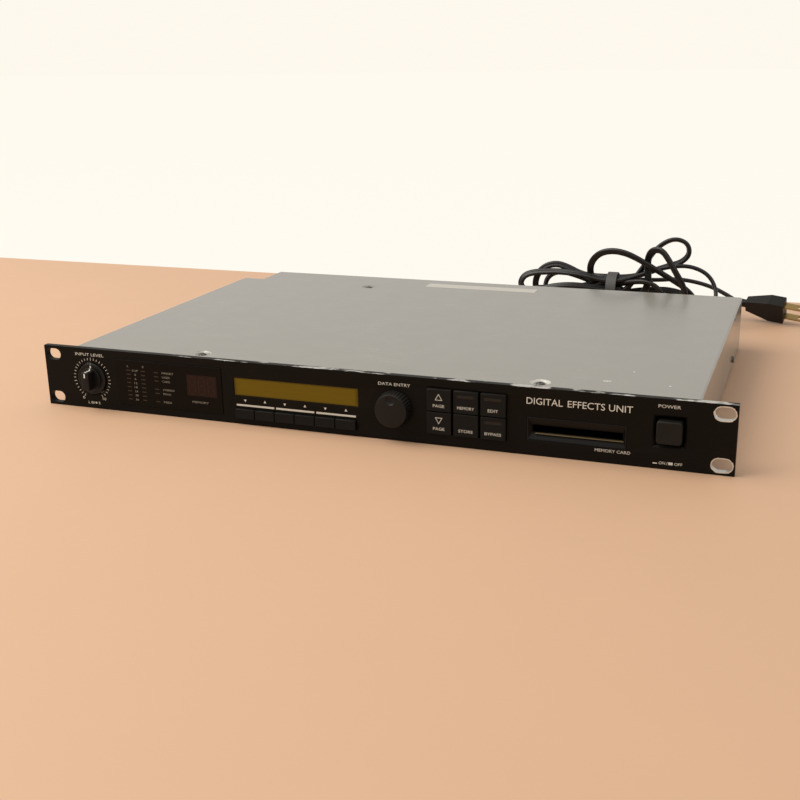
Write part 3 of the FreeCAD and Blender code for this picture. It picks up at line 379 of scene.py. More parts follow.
# Bare spots on the cover, as (x, y, radius) in metres; the first three make one long chip.
COVER_CHIPS = ((0.1567, 0.0250, 0.0010), (0.1583, 0.0254, 0.0012), (0.1600, 0.0258, 0.0009),
               (0.1969, 0.0255, 0.0008), (0.1709, 0.0506, 0.0007))


def cover_paint():
    """Grey enamel of the cover with hair scratches, chips and worn dishes."""
    paint = Finish("semi-gloss grey enamel", colours().cover, 0.24, scale=1500.0, spread=0.10, bump=0.10,
                   depth=0.00002, smear=0.10, dust=0.06, Coat_Weight=0.30, Coat_Roughness=0.14)
    paint.cover(place_group(paint.net, "scratch", Amount=0.55, Scale=26.0)["Mask"], (0.60, 0.58, 0.53))
    paint.cover(place_group(paint.net, "scratch", Amount=0.35, Scale=41.0)["Mask"], (0.14, 0.125, 0.10))
    right = place_group(paint.net, "ring", Centre=(DISH_OUT, DISH_BACK, 0.0), Radius=0.0054,
                        Width=0.0011)["Mask"]
    left = place_group(paint.net, "ring", Centre=(-DISH_OUT, DISH_BACK, 0.0), Radius=0.0058,
                       Width=0.0006, Amount=0.45)["Mask"]
    worn = paint.net.math("MAXIMUM", right, left)
    for x, y, radius in COVER_CHIPS:
        spot = place_group(paint.net, "ring", Centre=(x, y, 0.0), Radius=0.0, Width=radius)["Mask"]
        paint.cover(spot, (0.62, 0.59, 0.52), 0.35)
    return paint.cover(worn, (0.66, 0.64, 0.58), 0.40, 0.4).done()


def display_glass():
    """Olive display with faint rows of character cells, and painted shade darkening it towards its rim for
    the shadow of the recess it sits in.
    """
    glass = Finish("display", colours().display, 0.20, scale=500.0, spread=0.08, bump=0.0, smear=0.06,
                   Specular_IOR_Level=0.15)
    net = glass.net
    low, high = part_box("display_lens")
    axes = net.add("ShaderNodeSeparateXYZ", {0: net.place()}).outputs
    gaps = []
    for axis, start, pitch, share in ((0, low.x + 0.0048, 0.00205, 0.80), (2, low.z + 0.0025, 0.0049, 0.84)):
        beat = net.math("FRACT", net.math("DIVIDE", net.less(axes[axis], start), pitch))
        gaps.append(net.step(beat, share, share + 0.06))
    cells = net.less(1.0, net.math("MAXIMUM", *gaps))
    glass.cover(net.times(cells, 0.16), (0.085, 0.057, 0.006))
    # Painted shade: the display's rim is darkened all round to stand for the shadow of its window recess.
    middle_x, middle_z = (low.x + high.x) / 2, (low.z + high.z) / 2
    across = net.math("ABSOLUTE", net.less(axes[0], middle_x))
    upward = net.math("ABSOLUTE", net.less(axes[2], middle_z))
    rim = net.math("MAXIMUM", net.step(across, 0.0425, 0.0452), net.step(upward, 0.0048, 0.0064))
    return glass.cover(net.times(rim, 0.55), (0.020, 0.013, 0.004)).done()


# Plain finishes: name, colour, roughness, metalness, grain scale, grain spread, bump.
PLAIN_FINISHES = (
    ("screw steel", (0.105, 0.098, 0.088), 0.34, 0.8, 1800.0, 0.4, 0.1),
    ("turned steel", (0.45, 0.45, 0.44), 0.28, 0.95, 2200.0, 0.2, 0.08),
    ("nickel", (0.55, 0.54, 0.51), 0.22, 0.95, 700.0, 0.15, 0.03),
    ("pressed case steel", (0.38, 0.37, 0.34), 0.38, 0.85, 600.0, 0.25, 0.06),
    ("pointer ink", (0.84, 0.82, 0.76), 0.5, 0.0, 3200.0, 0.12, 0.1),
    # painted highlight: the bright brassy colour of the card slot's lower lip stands for the light that its
    # sloped face catches
    ("painted highlight lip", (0.17, 0.125, 0.060), 0.42, 0.5, 900.0, 0.3, 0.05),
    ("connector plastic", (0.014, 0.0135, 0.013), 0.40, 0.0, 1500.0, 0.35, 0.15),
    ("tie tape", (0.085, 0.082, 0.078), 0.55, 0.0, 1600.0, 0.35, 0.3),
    ("blade metal", (0.42, 0.29, 0.115), 0.26, 0.95, 800.0, 0.2, 0.04),
    ("circuit board", (0.016, 0.085, 0.032), 0.36, 0.0, 260.0, 0.9, 0.1),
    ("power circuit board", (0.30, 0.20, 0.085), 0.45, 0.0, 260.0, 0.4, 0.1),
    ("chip package", (0.012, 0.012, 0.013), 0.45, 0.0, 1700.0, 0.35, 0.15),
    ("white moulding", (0.56, 0.54, 0.48), 0.42, 0.0, 900.0, 0.10, 0.05),
    ("laminations", (0.12, 0.105, 0.085), 0.42, 0.6, 1500.0, 0.4, 0.2),
    ("extruded aluminium", (0.46, 0.46, 0.46), 0.34, 0.9, 900.0, 0.2, 0.05),
    ("capacitor sleeve", (0.012, 0.022, 0.075), 0.26, 0.0, 700.0, 0.2, 0.03),
    ("flat cable", (0.30, 0.30, 0.31), 0.48, 0.0, 900.0, 0.15, 0.1),
    ("wire insulation", (0.30, 0.05, 0.03), 0.42, 0.0, 900.0, 0.2, 0.1),
)
# Smooth finishes behind the windows: name, colour, roughness, grain scale, grain spread.
SMOOTH_FINISHES = (
    ("number pane", (0.0130, 0.0042, 0.0030), 0.16, 120.0, 0.15),
    ("dim lamp", (0.040, 0.028, 0.018), 0.25, 2000.0, 0.2),
    ("unlit segment", (0.026, 0.0078, 0.0050), 0.20, 2000.0, 0.2),
    ("dim print", (0.24, 0.215, 0.175), 0.30, 2000.0, 0.2),
)


def build_finishes():
    tone = colours()
    panel_paint()
    cover_paint()
    display_glass()
    for name, base, roughness, metallic, scale, spread, bump in PLAIN_FINISHES:
        Finish(name, base, roughness, metallic, scale=scale, spread=spread, bump=bump).done()
    for name, base, roughness, scale, spread in SMOOTH_FINISHES:
        Finish(name, base, roughness, scale=scale, spread=spread, bump=0.0, Specular_IOR_Level=0.2).done()
    Finish("bright zinc", (0.40, 0.378, 0.325), 0.34, 0.9, scale=300.0, bump=0.05, smear=0.2).done()
    Finish("smoked pane", tone.window, 0.14, scale=120.0, spread=0.10, bump=0.0, smear=0.03,
           Specular_IOR_Level=0.12).done()
    Finish("key plastic", tone.keys, 0.42, scale=2400.0, spread=0.4, bump=0.2, dust=0.04,
           Specular_IOR_Level=0.12).done()
    Finish("knob plastic", tone.knobs, 0.40, scale=2600.0, spread=0.4, bump=0.25, dust=0.04,
           Specular_IOR_Level=0.24).done()
    Finish("white ink", tone.print, 0.55, scale=3200.0, spread=0.3, bump=0.1).done()
    Finish("lamp lens", (0.0105, 0.0095, 0.0080), 0.24, spread=0.2, bump=0.0,
           Specular_IOR_Level=0.3).done()
    Finish("bezel plastic", (0.0056, 0.0046, 0.0034), 0.42, scale=1800.0, spread=0.3, bump=0.15,
           Specular_IOR_Level=0.18).done()
    Finish("paper label", tone.label, 0.55, scale=1100.0, spread=0.16, bump=0.1, dust=0.12).done()
    Finish("cord jacket", tone.cord, 0.36, scale=1300.0, spread=0.4, bump=0.2, dust=0.03,
           Specular_IOR_Level=0.45).done()
    Finish("plug rubber", tone.cord, 0.42, scale=1100.0, spread=0.4, bump=0.25, dust=0.02,
           Specular_IOR_Level=0.22).done()
    Finish("floor", tone.floor, 0.55, scale=18.0, spread=0.05, bump=0.0, smear=0.05).done()
    Finish("backdrop", (0.02, 0.02, 0.02), 0.9, scale=18.0, spread=0.02, bump=0.0, smear=0.05,
           Specular_IOR_Level=0.0, Emission_Color=SKY_SEEN, Emission_Strength=1.0).done()


def finish(name):
    return FINISHES[name].material


# ---------------------------------------------------------------- mesh helpers
def add_block(bm, low, high):
    """A block between two corners in metres; returns its vertices."""
    verts = bmesh.ops.create_cube(bm, size=1.0)["verts"]
    low, high = Vector(low), Vector(high)
    bmesh.ops.scale(bm, vec=high - low, verts=verts)
    bmesh.ops.translate(bm, vec=(low + high) / 2, verts=verts)
    return verts


def round_off(bm, edges, width, segments=3):
    bmesh.ops.bevel(bm, geom=edges, offset=width, offset_type="OFFSET", segments=segments, profile=0.5,
                    affect="EDGES", material=-1)


def edges_along(verts, axis):
    """The edges between these vertices that run along one axis."""
    found = {edge for vert in verts for edge in vert.link_edges}
    return [edge for edge in found if abs((edge.verts[0].co - edge.verts[1].co).normalized()[axis]) > 0.99]


def edges_where(bm, test):
    return [edge for edge in bm.edges if test(edge.verts[0].co) and test(edge.verts[1].co)]


def turn_shape(bm, profile, centre, steps=96, axis=(0, 1, 0)):
    """Spins a profile of (radius, distance along the axis) pairs round an axis through centre."""
    axis = Vector(axis)
    side = Vector((1, 0, 0)) if abs(axis.x) < 0.5 else Vector((0, 0, 1))
    centre = Vector(centre)
    verts = [bm.verts.new(centre + side * radius + axis * distance) for radius, distance in profile]
    edges = [bm.edges.new(pair) for pair in zip(verts, verts[1:])]
    bmesh.ops.spin(bm, geom=verts + edges, cent=centre, axis=axis, angle=math.tau, steps=steps,
                   use_merge=True)
    bmesh.ops.remove_doubles(bm, verts=bm.verts, dist=1e-6)


def add_piece(name, bm, material, body, nodes=(), sharp=34.0, outward=True):
    """A finished piece: its mesh in place, riding on its body, standing for its CAD nodes."""
    if outward:
        bmesh.ops.recalc_face_normals(bm, faces=bm.faces)
    mesh = bpy.data.meshes.new(name)
    bm.to_mesh(mesh)
    bm.free()
    mesh.materials.append(finish(material))
    piece = bpy.data.objects.new(name, mesh)
    bpy.context.scene.collection.objects.link(piece)
    mesh.shade_smooth()
    mesh.set_sharp_from_angle(angle=math.radians(sharp))
    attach(piece, body)
    if nodes:
        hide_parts(*nodes)
    return piece


def copy_of(node):
    """A merged copy of a CAD node's mesh, its flat faces whole again."""
    bm = bmesh.new()
    bm.from_mesh(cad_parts[node].data)
    for layer in list(bm.loops.layers.uv):
        bm.loops.layers.uv.remove(layer)
    bmesh.ops.remove_doubles(bm, verts=bm.verts, dist=2e-6)
    bmesh.ops.dissolve_limit(bm, angle_limit=math.radians(0.5), verts=bm.verts, edges=bm.edges)
    return bm


def ease(piece, width, segments=2, angle=38.0):
    """A live bevel on the sharp edges of a piece."""
    bevel = piece.modifiers.new("Eased edges", "BEVEL")
    bevel.width = width
    bevel.segments = segments
    bevel.limit_method = "ANGLE"
    bevel.angle_limit = math.radians(angle)
    bevel.miter_outer = "MITER_ARC"
    bevel.use_clamp_overlap = True
    bevel.harden_normals = True
    return piece


def eased_copy(name, node, material, body, width, angle=38.0):
    piece = add_piece(name, copy_of(node), material, body, (node,), outward=False)
    return ease(piece, width, angle=angle)


def paint_node(node, material):
    """A CAD node that stays gets its material in its own slots."""
    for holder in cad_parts[node].material_slots:
        holder.material = finish(material)


def flat_words(words):
    """The outline of some words as a flat mesh, in the font's own units."""
    curve = bpy.data.curves.new("words", "FONT")
    curve.body = words
    curve.resolution_u = 3
    holder = bpy.data.objects.new("words", curve)
    mesh = bpy.data.meshes.new_from_object(holder)
    bpy.data.objects.remove(holder)
    bpy.data.curves.remove(curve)
    return mesh


def write(bm, words, left, right, middle, height, face, rear=False):
    """Raised print that fills left..right and height, centred on middle, on a face that looks forward or
    back. Every measure but face is in millimetres."""
    mesh = flat_words(words)
    start = len(bm.verts)
    bm.from_mesh(mesh)
    bpy.data.meshes.remove(mesh)
    bm.verts.ensure_lookup_table()
    verts = bm.verts[start:]
    xs, zs = [v.co.x for v in verts], [v.co.y for v in verts]
    wide, tall = (right - left) * MM / (max(xs) - min(xs)), height * MM / (max(zs) - min(zs))
    way = -1.0 if rear else 1.0
    for vert in verts:
        x = way * (vert.co.x - (max(xs) + min(xs)) / 2) * wide + (left + right) / 2 * MM
        z = (vert.co.y - (max(zs) + min(zs)) / 2) * tall + middle * MM
        vert.co = Vector((x, face, z))
    faces = list({found for vert in verts for found in vert.link_faces})
    thicken(bm, faces, sizes().print_depth if rear else -sizes().print_depth)


def thicken(bm, faces, depth):
    """Gives flat faces a thin body along Y."""
    grown = bmesh.ops.extrude_face_region(bm, geom=faces, use_keep_orig=True)
    verts = [item for item in grown["geom"] if isinstance(item, bmesh.types.BMVert)]
    bmesh.ops.translate(bm, vec=(0, depth, 0), verts=verts)


def bar(bm, x, z, wide, tall, face, turn=0.0):
    """A printed bar in millimetres, centred on x, z, turned in the plane of the face."""
    depth = sizes().print_depth
    across, up = wide / 2 * MM, tall / 2 * MM
    verts = add_block(bm, (-across, face - depth, -up), (across, face + depth, up))
    bmesh.ops.rotate(bm, verts=verts, cent=(0, 0, 0), matrix=Matrix.Rotation(turn, 3, "Y"))
    bmesh.ops.translate(bm, vec=(x * MM, 0, z * MM), verts=verts)


def sign(bm, x, z, radius, face, sides, turn=0.0, line=0.0):
    """A printed disc or triangle, or only its outline if line is its thickness, in millimetres."""
    made = bmesh.ops.create_circle(bm, cap_ends=True, segments=sides, radius=radius * MM)["verts"]
    shape = Matrix.Translation((x * MM, face, z * MM)) @ Matrix.Rotation(math.pi / 2, 4, "X") \
        @ Matrix.Rotation(turn, 4, "Z")
    bmesh.ops.transform(bm, matrix=shape, verts=made)
    faces = list({found for vert in made for found in vert.link_faces})
    if line:
        rim = bmesh.ops.inset_region(bm, faces=faces, thickness=line * MM, use_boundary=True,
                                     use_even_offset=True)["faces"]
        bmesh.ops.delete(bm, geom=faces, context="FACES")
        faces = rim
    thicken(bm, faces, -sizes().print_depth)


# ---------------------------------------------------------------- the mains cord
# Where the cord leaves its relief, climbs to the hank, and runs on from the hank to the plug.
LEAD = [
    (0.190, 0.318, -0.008), (0.190, 0.336, -0.008), (0.191, 0.352, -0.002), (0.192, 0.364, 0.010),
    (0.184, 0.368, 0.024), (0.168, 0.367, 0.031), (0.152, 0.366, 0.030),
]
TAIL = [
    (0.139, 0.376, 0.015), (0.152, 0.388, 0.0145), (0.166, 0.395, 0.012), (0.181, 0.398, 0.008),
    (0.195, 0.3985, 0.002), (0.20803, 0.3964, -0.00522),
]
# The hank: loose lobes left and right of the tie at x 0.100, each a little different.
HANK = [
    (0.136, 0.366, 0.0255), (0.121, 0.364, 0.0200), (0.107, 0.360, 0.0160), (0.093, 0.360, 0.0155),
    # outermost left lobe
    (0.080, 0.361, 0.0185), (0.064, 0.362, 0.0205), (0.048, 0.363, 0.0210), (0.0365, 0.363, 0.0200),
    (0.0265, 0.363, 0.0190), (0.0175, 0.363, 0.0155), (0.0140, 0.362, 0.0070), (0.0225, 0.361, 0.0000),
    (0.036, 0.360, -0.0030), (0.051, 0.360, -0.0070), (0.067, 0.360, -0.0080), (0.082, 0.360, -0.0045),
    (0.093, 0.361, 0.0010), (0.107, 0.361, 0.0020),
    # tall loop at the upper right, behind the others
    (0.114, 0.364, 0.0090), (0.1205, 0.368, 0.0190), (0.127, 0.371, 0.0290), (0.133, 0.372, 0.0395),
    (0.1415, 0.372, 0.0490), (0.1525, 0.372, 0.0540), (0.1635, 0.372, 0.0505), (0.1660, 0.373, 0.0405),
    (0.1590, 0.374, 0.0325), (0.148, 0.374, 0.0290), (0.136, 0.373, 0.0245), (0.121, 0.370, 0.0190),
    (0.107, 0.366, 0.0176), (0.093, 0.366, 0.0176),
    # tallest left lobe
    (0.080, 0.367, 0.0172), (0.069, 0.368, 0.0190), (0.058, 0.369, 0.0240), (0.047, 0.370, 0.0270),
    (0.036, 0.370, 0.0240), (0.0285, 0.370, 0.0160), (0.0265, 0.370, 0.0050), (0.0315, 0.369, -0.0065),
    (0.045, 0.368, -0.0125), (0.062, 0.367, -0.0115), (0.078, 0.367, -0.0065), (0.093, 0.367, -0.0014),
    (0.107, 0.366, -0.0014),
    # upright loop right of the tie
    (0.118, 0.364, -0.0030), (0.128, 0.361, 0.0040), (0.1325, 0.360, 0.0150), (0.1315, 0.3605, 0.0270),
    (0.1310, 0.360, 0.0370), (0.1350, 0.357, 0.0455), (0.1440, 0.353, 0.0465), (0.1510, 0.3505, 0.0380),
    (0.1570, 0.3495, 0.0280),
    (0.1640, 0.350, 0.0170), (0.1670, 0.3525, 0.0045), (0.160, 0.359, -0.0075), (0.144, 0.366, -0.0145),
    (0.124, 0.371, -0.0115), (0.107, 0.372, 0.0005), (0.094, 0.372, 0.0030),
    # round the front of the tie and over it, then down the right side
    (0.0855, 0.371, 0.0080), (0.0790, 0.369, 0.0165), (0.0785, 0.366, 0.0285), (0.0860, 0.362, 0.0388),
    (0.0975, 0.359, 0.0430), (0.1110, 0.357, 0.0420), (0.1240, 0.3555, 0.0368), (0.1380, 0.3553, 0.0290),
    (0.1540, 0.3570, 0.0195), (0.1690, 0.358, 0.0100), (0.1760, 0.360, -0.0010), (0.1720, 0.362, -0.0125),
    (0.159, 0.365, -0.0185), (0.142, 0.3655, -0.0185), (0.124, 0.368, -0.0075), (0.107, 0.371, 0.0075),
    (0.093, 0.371, 0.0085),
    # inner left lobe
    (0.078, 0.373, 0.0120), (0.063, 0.375, 0.0165), (0.049, 0.376, 0.0190), (0.0385, 0.376, 0.0145),
    (0.0345, 0.375, 0.0050), (0.039, 0.374, -0.0055), (0.051, 0.373, -0.0080), (0.066, 0.371, -0.0020),
    (0.080, 0.368, 0.0070), (0.093, 0.364, 0.0120), (0.107, 0.364, 0.0120),
    # low loop at the right, in front
    (0.119, 0.358, 0.0160), (0.132, 0.354, 0.0175), (0.1435, 0.353, 0.0125), (0.1475, 0.353, 0.0020),
    (0.1445, 0.354, -0.0090), (0.134, 0.355, -0.0150), (0.121, 0.358, -0.0090), (0.107, 0.361, 0.0075),
    (0.093, 0.361, 0.0080),
    # front left lobe, down to the floor
    (0.078, 0.358, 0.0095), (0.061, 0.356, 0.0105), (0.044, 0.355, 0.0080), (0.030, 0.356, 0.0030),
    (0.024, 0.357, -0.0070), (0.033, 0.358, -0.0165), (0.049, 0.360, -0.0180), (0.068, 0.362, -0.0110),
    (0.082, 0.364, 0.0010), (0.093, 0.366, 0.0070), (0.107, 0.366, 0.0070),
    # rear right lobe on the floor
    (0.119, 0.370, 0.0020), (0.131, 0.375, -0.0090), (0.144, 0.378, -0.0165), (0.159, 0.378, -0.0180),
    (0.1690, 0.376, -0.0090), (0.164, 0.374, 0.0035), (0.149, 0.374, 0.0070), (0.135, 0.373, 0.0065),
    (0.121, 0.370, 0.0055), (0.107, 0.3665, 0.0030), (0.093, 0.3665, 0.0030),
    # rear left lobe on the floor, and out towards the plug
    (0.079, 0.368, -0.0010), (0.064, 0.371, -0.0070), (0.049, 0.374, -0.0135), (0.034, 0.375, -0.0175),
    (0.0205, 0.374, -0.0165), (0.0140, 0.372, -0.0060), (0.022, 0.370, 0.0030), (0.038, 0.369, 0.0050),
    (0.056, 0.370, 0.0055), (0.072, 0.371, 0.0080), (0.084, 0.372, 0.0120), (0.093, 0.373, 0.0148),
    (0.107, 0.373, 0.0150), (0.122, 0.3745, 0.0150),
]
CORD_ROUTE = LEAD + HANK + TAIL
# Twist of the flat cord along its way, as (share of the points, quarter turns).
CORD_TWIST = ((0.0, 1.0), (0.05, 1.0), (0.09, 0.2), (0.16, 0.2), (0.19, 0.6), (0.25, 0.6), (0.29, 0.1),
              (0.37, 0.2), (0.41, 0.0), (0.50, 0.0), (0.56, 0.6), (0.92, 0.8), (1.0, 1.0))


def twist_at(share):
    """Twist in radians at a share of the cord's way."""
    for (first, low), (last, high) in zip(CORD_TWIST, CORD_TWIST[1:]):
        if share <= last:
            return (low + (high - low) * (share - first) / (last - first)) * math.pi / 2
    return 0.0


def cord_curve(resolution):
    """The cord's line, with this many steps from one point to the next."""
    curve = bpy.data.curves.new("mains cord route", "CURVE")
    curve.dimensions = "3D"
    curve.resolution_u = resolution
    curve.twist_mode = "MINIMUM"
    spline = curve.splines.new("NURBS")
    spline.points.add(len(CORD_ROUTE) - 1)
    for index, (point, at) in enumerate(zip(spline.points, CORD_ROUTE)):
        point.co = (*at, 1.0)
        point.tilt = twist_at(index / (len(CORD_ROUTE) - 1))
    spline.order_u = 3
    spline.use_endpoint_u = True
    return curve


def cord_section():
    """Outline of the two-core cord: two round cores side by side with a groove between them."""
    core = sizes().cord_thickness / 2
    offset = sizes().cord_width / 2 - core
    outline = bpy.data.curves.new("cord section", "CURVE")
    outline.dimensions = "2D"
    spline = outline.splines.new("POLY")
    half = [(offset + core * math.cos(math.radians(a)), core * math.sin(math.radians(a)))
            for a in (-128, -96, -64, -32, 0, 32, 64, 96, 128)]
    whole = half + [(-x, -y) for x, y in half]
    spline.points.add(len(whole) - 1)
    for point, (x, y) in zip(spline.points, whole):
        point.co = (x, y, 0.0, 1.0)
    spline.use_cyclic_u = True
    return bpy.data.objects.new("cord section", outline)


def mesh_of(curve):
    """The mesh that a curve makes."""
    holder = bpy.data.objects.new("holder", curve)
    bpy.context.scene.collection.objects.link(holder)
    graph = bpy.context.evaluated_depsgraph_get()
    mesh = bpy.data.meshes.new_from_object(holder.evaluated_get(graph))
    bpy.data.objects.remove(holder)
    return mesh


class CordOperator(bpy.types.Operator):
    """The flat mains cord, gathered by its tie behind the case, with its plug"""

    bl_idname = "effects.cord"
    bl_label = "Mains cord"

    def execute(self, context):
        line = mesh_of(cord_curve(10))
        curve = cord_curve(7)
        section = cord_section()
        bpy.context.scene.collection.objects.link(section)
        curve.bevel_mode = "OBJECT"
        curve.bevel_object = section
        curve.use_fill_caps = True
        tube = mesh_of(curve)
        bpy.data.objects.remove(section)
        bm = bmesh.new()
        bm.from_mesh(tube)
        bmesh.ops.remove_doubles(bm, verts=bm.verts, dist=1e-6)
        cord = add_piece("mains_cord", bm, "cord jacket", "chassis", ("cord_lead", "cord_hank", "cord_tail"),
                         sharp=60.0)
        plug = eased_copy("plug_moulding", "plug_body", "plug rubber", "chassis", 0.0010, 20.0)
        blades = eased_copy("plug_pins", "plug_blades", "blade metal", "chassis", 0.0002)
        tie = eased_copy("cord_wrap", "cord_tie", "tie tape", "chassis", 0.0003)
        eased_copy("cord_relief", "strain_relief", "plug rubber", "chassis", 0.0004)
        return {"FINISHED"}


# ---------------------------------------------------------------- front plate
# Radius of the ring of tick marks round the level control, in millimetres.
TICK_RADIUS = 14.4
# The arrows over the display keys: the first one's place and the step to the next, in millimetres.
ARROW_START = -79.8
ARROW_PITCH = 14.76
# Words on the plate, in millimetres: text, left end, right end, middle height, height of the letters.
PANEL_WORDS = [
    ("INPUT LEVEL", -213.9, -190.4, 17.5, 2.0), ("0", -211.0, -209.4, -14.6, 1.9),
    ("10", -194.3, -191.5, -14.35, 1.9), ("L", -206.6, -205.4, -17.8, 1.9), ("R", -198.0, -196.6, -17.8, 1.9),
    ("DATA ENTRY", 17.2, 39.0, 15.9, 2.0), ("MEMORY CARD", 157.7, 179.1, -14.0, 1.9),
    ("POWER", 194.4, 207.4, 17.4, 2.0), ("ON", 196.2, 199.9, -18.0, 1.8), ("OFF", 205.3, 210.0, -18.0, 1.8),
    ("DIGITAL", 114.8, 137.3, 13.4, 4.2), ("EFFECTS UNIT", 140.4, 179.6, 13.4, 4.2),
]


class PlateOperator(bpy.types.Operator):
    """The front plate with its printed words, tick marks and bars"""

    bl_idname = "effects.plate"
    bl_label = "Front plate"

    def execute(self, context):
        eased_copy("front_plate", "front_panel", "satin black enamel", "chassis", sizes().plate_edge)
        bm = bmesh.new()
        for words, left, right, middle, height in PANEL_WORDS:
            write(bm, words, left, right, middle, height, PANEL_FACE)
        level_x = (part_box("level_ring")[0].x + RING_RADIUS) / MM
        for number in range(31):
            turn = math.radians(number * 10 - 150)
            long = 2.1 if number % 5 == 0 else 1.6
            x, z = TICK_RADIUS * math.sin(turn), TICK_RADIUS * math.cos(turn)
            bar(bm, level_x + x, z, 0.34, long, PANEL_FACE, turn)
        # signs of the ring and the bar between L and R
        sign(bm, -203.3, -17.8, 0.95, PANEL_FACE, 20, line=0.3)
        sign(bm, -203.3, -17.8, 0.35, PANEL_FACE, 12)
        sign(bm, -200.1, -17.8, 0.95, PANEL_FACE, 4)
        bar(bm, -201.7, -17.8, 0.25, 2.0, PANEL_FACE, math.radians(20))
        # three bars and six arrows between the display and its keys
        for middle, wide in ((-72.4, 28.2), (-42.9, 28.0), (-13.25, 28.3)):
            bar(bm, middle, -8.4, wide, 1.3, PANEL_FACE)
        for number in range(6):
            x = ARROW_START + ARROW_PITCH * number
            sign(bm, x, -4.9, 1.15, PANEL_FACE, 3, math.pi if number % 2 == 0 else 0.0)
        # signs of the button in and out
        bar(bm, 193.9, -18.5, 2.6, 0.7, PANEL_FACE)
        bar(bm, 203.1, -18.0, 2.6, 1.7, PANEL_FACE)
        bar(bm, 201.0, -18.0, 0.25, 2.2, PANEL_FACE, math.radians(20))
        add_piece("plate_print", bm, "white ink", "chassis", sharp=20.0)
        return {"FINISHED"}


# ---------------------------------------------------------------- meter and displays
# Lamps behind the meter window, in millimetres.
LAMP_COLUMNS = (-170.5, -158.8)
STATUS_COLUMN = -148.2
LAMP_WIDTH = 3.3
LAMP_HEIGHT = 0.75
METER_LABELS = ("CLIP", "0", "6", "12", "18", "24", "30", "36")
STATUS_LABELS = {0: "PRESET", 1: "USER", 2: "CARD", 4: "STEREO", 5: "MONO", 7: "MIDI"}


def lamp_row(number):
    """Height of a row of lamps, counted from the top."""
    return 9.0 - 3.0 * number


class WindowOperator(bpy.types.Operator):
    """The smoked meter window and the olive display, with what shows dimly in them"""

    bl_idname = "effects.windows"
    bl_label = "Windows"

    def execute(self, context):
        eased_copy("meter_pane", "meter_window", "smoked pane", "chassis", 0.0002)
        eased_copy("display_pane", "display_lens", "display", "chassis", 0.0002)
        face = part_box("meter_window")[0].y
        lamps, words = bmesh.new(), bmesh.new()
        for x in LAMP_COLUMNS:
            for row in range(len(METER_LABELS)):
                bar(lamps, x, lamp_row(row), LAMP_WIDTH, LAMP_HEIGHT, face)
        for row, label in STATUS_LABELS.items():
            bar(lamps, STATUS_COLUMN, lamp_row(row), LAMP_WIDTH, LAMP_HEIGHT, face)
            left = STATUS_COLUMN + 4.6
            write(words, label, left, left + 1.55 * len(label), lamp_row(row), 1.35, face)
        write(words, "L", -171.3, -170.1, 11.9, 1.4, face)
        write(words, "R", -159.0, -157.7, 12.1, 1.4, face)
        for row, label in enumerate(METER_LABELS):
            half = 0.62 * len(label)
            write(words, label, -165.2 - half, -165.2 + half, lamp_row(row), 1.35, face)
        write(words, "MEMORY", -120.7, -107.9, -9.5, 1.5, face)
        add_piece("meter_lamp_bars", lamps, "dim lamp", "chassis")
        add_piece("meter_words", words, "dim print", "chassis", sharp=20.0)
        digits = bmesh.new()
        depth = sizes().print_depth
        add_block(digits, (-0.1241, face - depth, -0.0051), (-0.1011, face + depth, 0.0098))
        add_piece("number_pane", digits, "number pane", "chassis")
        segments = bmesh.new()
        front = face - 2 * depth
        for x in (-119.9, -112.6, -105.3):
            for z in (8.2, 2.35, -3.5):
                bar(segments, x, z, 3.6, 0.8, front)
            for side in (-2.3, 2.3):
                for z in (5.3, -0.6):
                    bar(segments, x + side, z, 0.8, 4.6, front)
        add_piece("number_segments", segments, "unlit segment", "chassis")
        return {"FINISHED"}


# ---------------------------------------------------------------- keys
def nest(bm, face, ratio, push):
    """Steps a face in: a smaller copy of it, pushed back a little and joined to its old rim."""
    inner = bmesh.ops.extrude_discrete_faces(bm, faces=[face])["faces"][0]
    middle = inner.calc_center_median()
    shape = Matrix.Translation(middle + Vector((0, push, 0))) @ Matrix.Diagonal((ratio, 1, ratio, 1)) \
        @ Matrix.Translation(-middle)
    bmesh.ops.transform(bm, matrix=shape, verts=inner.verts)
    return inner


def key_cap(node):
    """A hollow key cap with eased front edges and a faint dish, and its stem."""
    low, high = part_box(node)
    bm = bmesh.new()
    depth, wall, skin = 0.0072, 0.0012, 0.0016
    stem_radius, stem_start = 0.0015, low.y + 0.0009
    verts = add_block(bm, low, (high.x, low.y + depth, high.z))
    bm.normal_update()
    back = max(bm.faces, key=lambda face: face.normal.y)
    bmesh.ops.inset_region(bm, faces=[back], thickness=wall, use_even_offset=True)
    floor = bmesh.ops.extrude_discrete_faces(bm, faces=[back])["faces"][0]
    bmesh.ops.translate(bm, vec=(0, skin - depth, 0), verts=floor.verts)
    front = edges_where(bm, lambda co: co.y < low.y + 1e-6)
    corners = [edge for edge in edges_along(verts, 1) if edge.is_valid]
    round_off(bm, front + corners, sizes().key_edge, 3)
    bm.normal_update()
    face = max((item for item in bm.faces if item.normal.y < -0.999), key=lambda item: item.calc_area())
    nest(bm, nest(bm, face, 0.93, 0.00004), 0.80, 0.00005)
    middle = ((low.x + high.x) / 2, 0.0, (low.z + high.z) / 2)
    stem = [(0, stem_start), (stem_radius, stem_start), (stem_radius, high.y), (0, high.y)]
    turn_shape(bm, stem, middle, 20)
    return bm


class SoftKeysOperator(bpy.types.Operator):
    """The six narrow keys under the display"""

    bl_idname = "effects.soft_keys"
    bl_label = "Display keys"

    def execute(self, context):
        for number in range(1, 7):
            node = f"soft_key_{number}"
            add_piece(f"display_key_{number}", key_cap(node), "key plastic", f"{node}_body", (node,))
        return {"FINISHED"}


# Function keys, with their words and the width of the words in millimetres.
FUNCTION_KEYS = {
    "page_up_key": ("PAGE", 7.6), "page_down_key": ("PAGE", 7.6), "memory_key": ("MEMORY", 11.0),
    "edit_key": ("EDIT", 6.6), "store_key": ("STORE", 9.4), "bypass_key": ("BYPASS", 10.6),
}


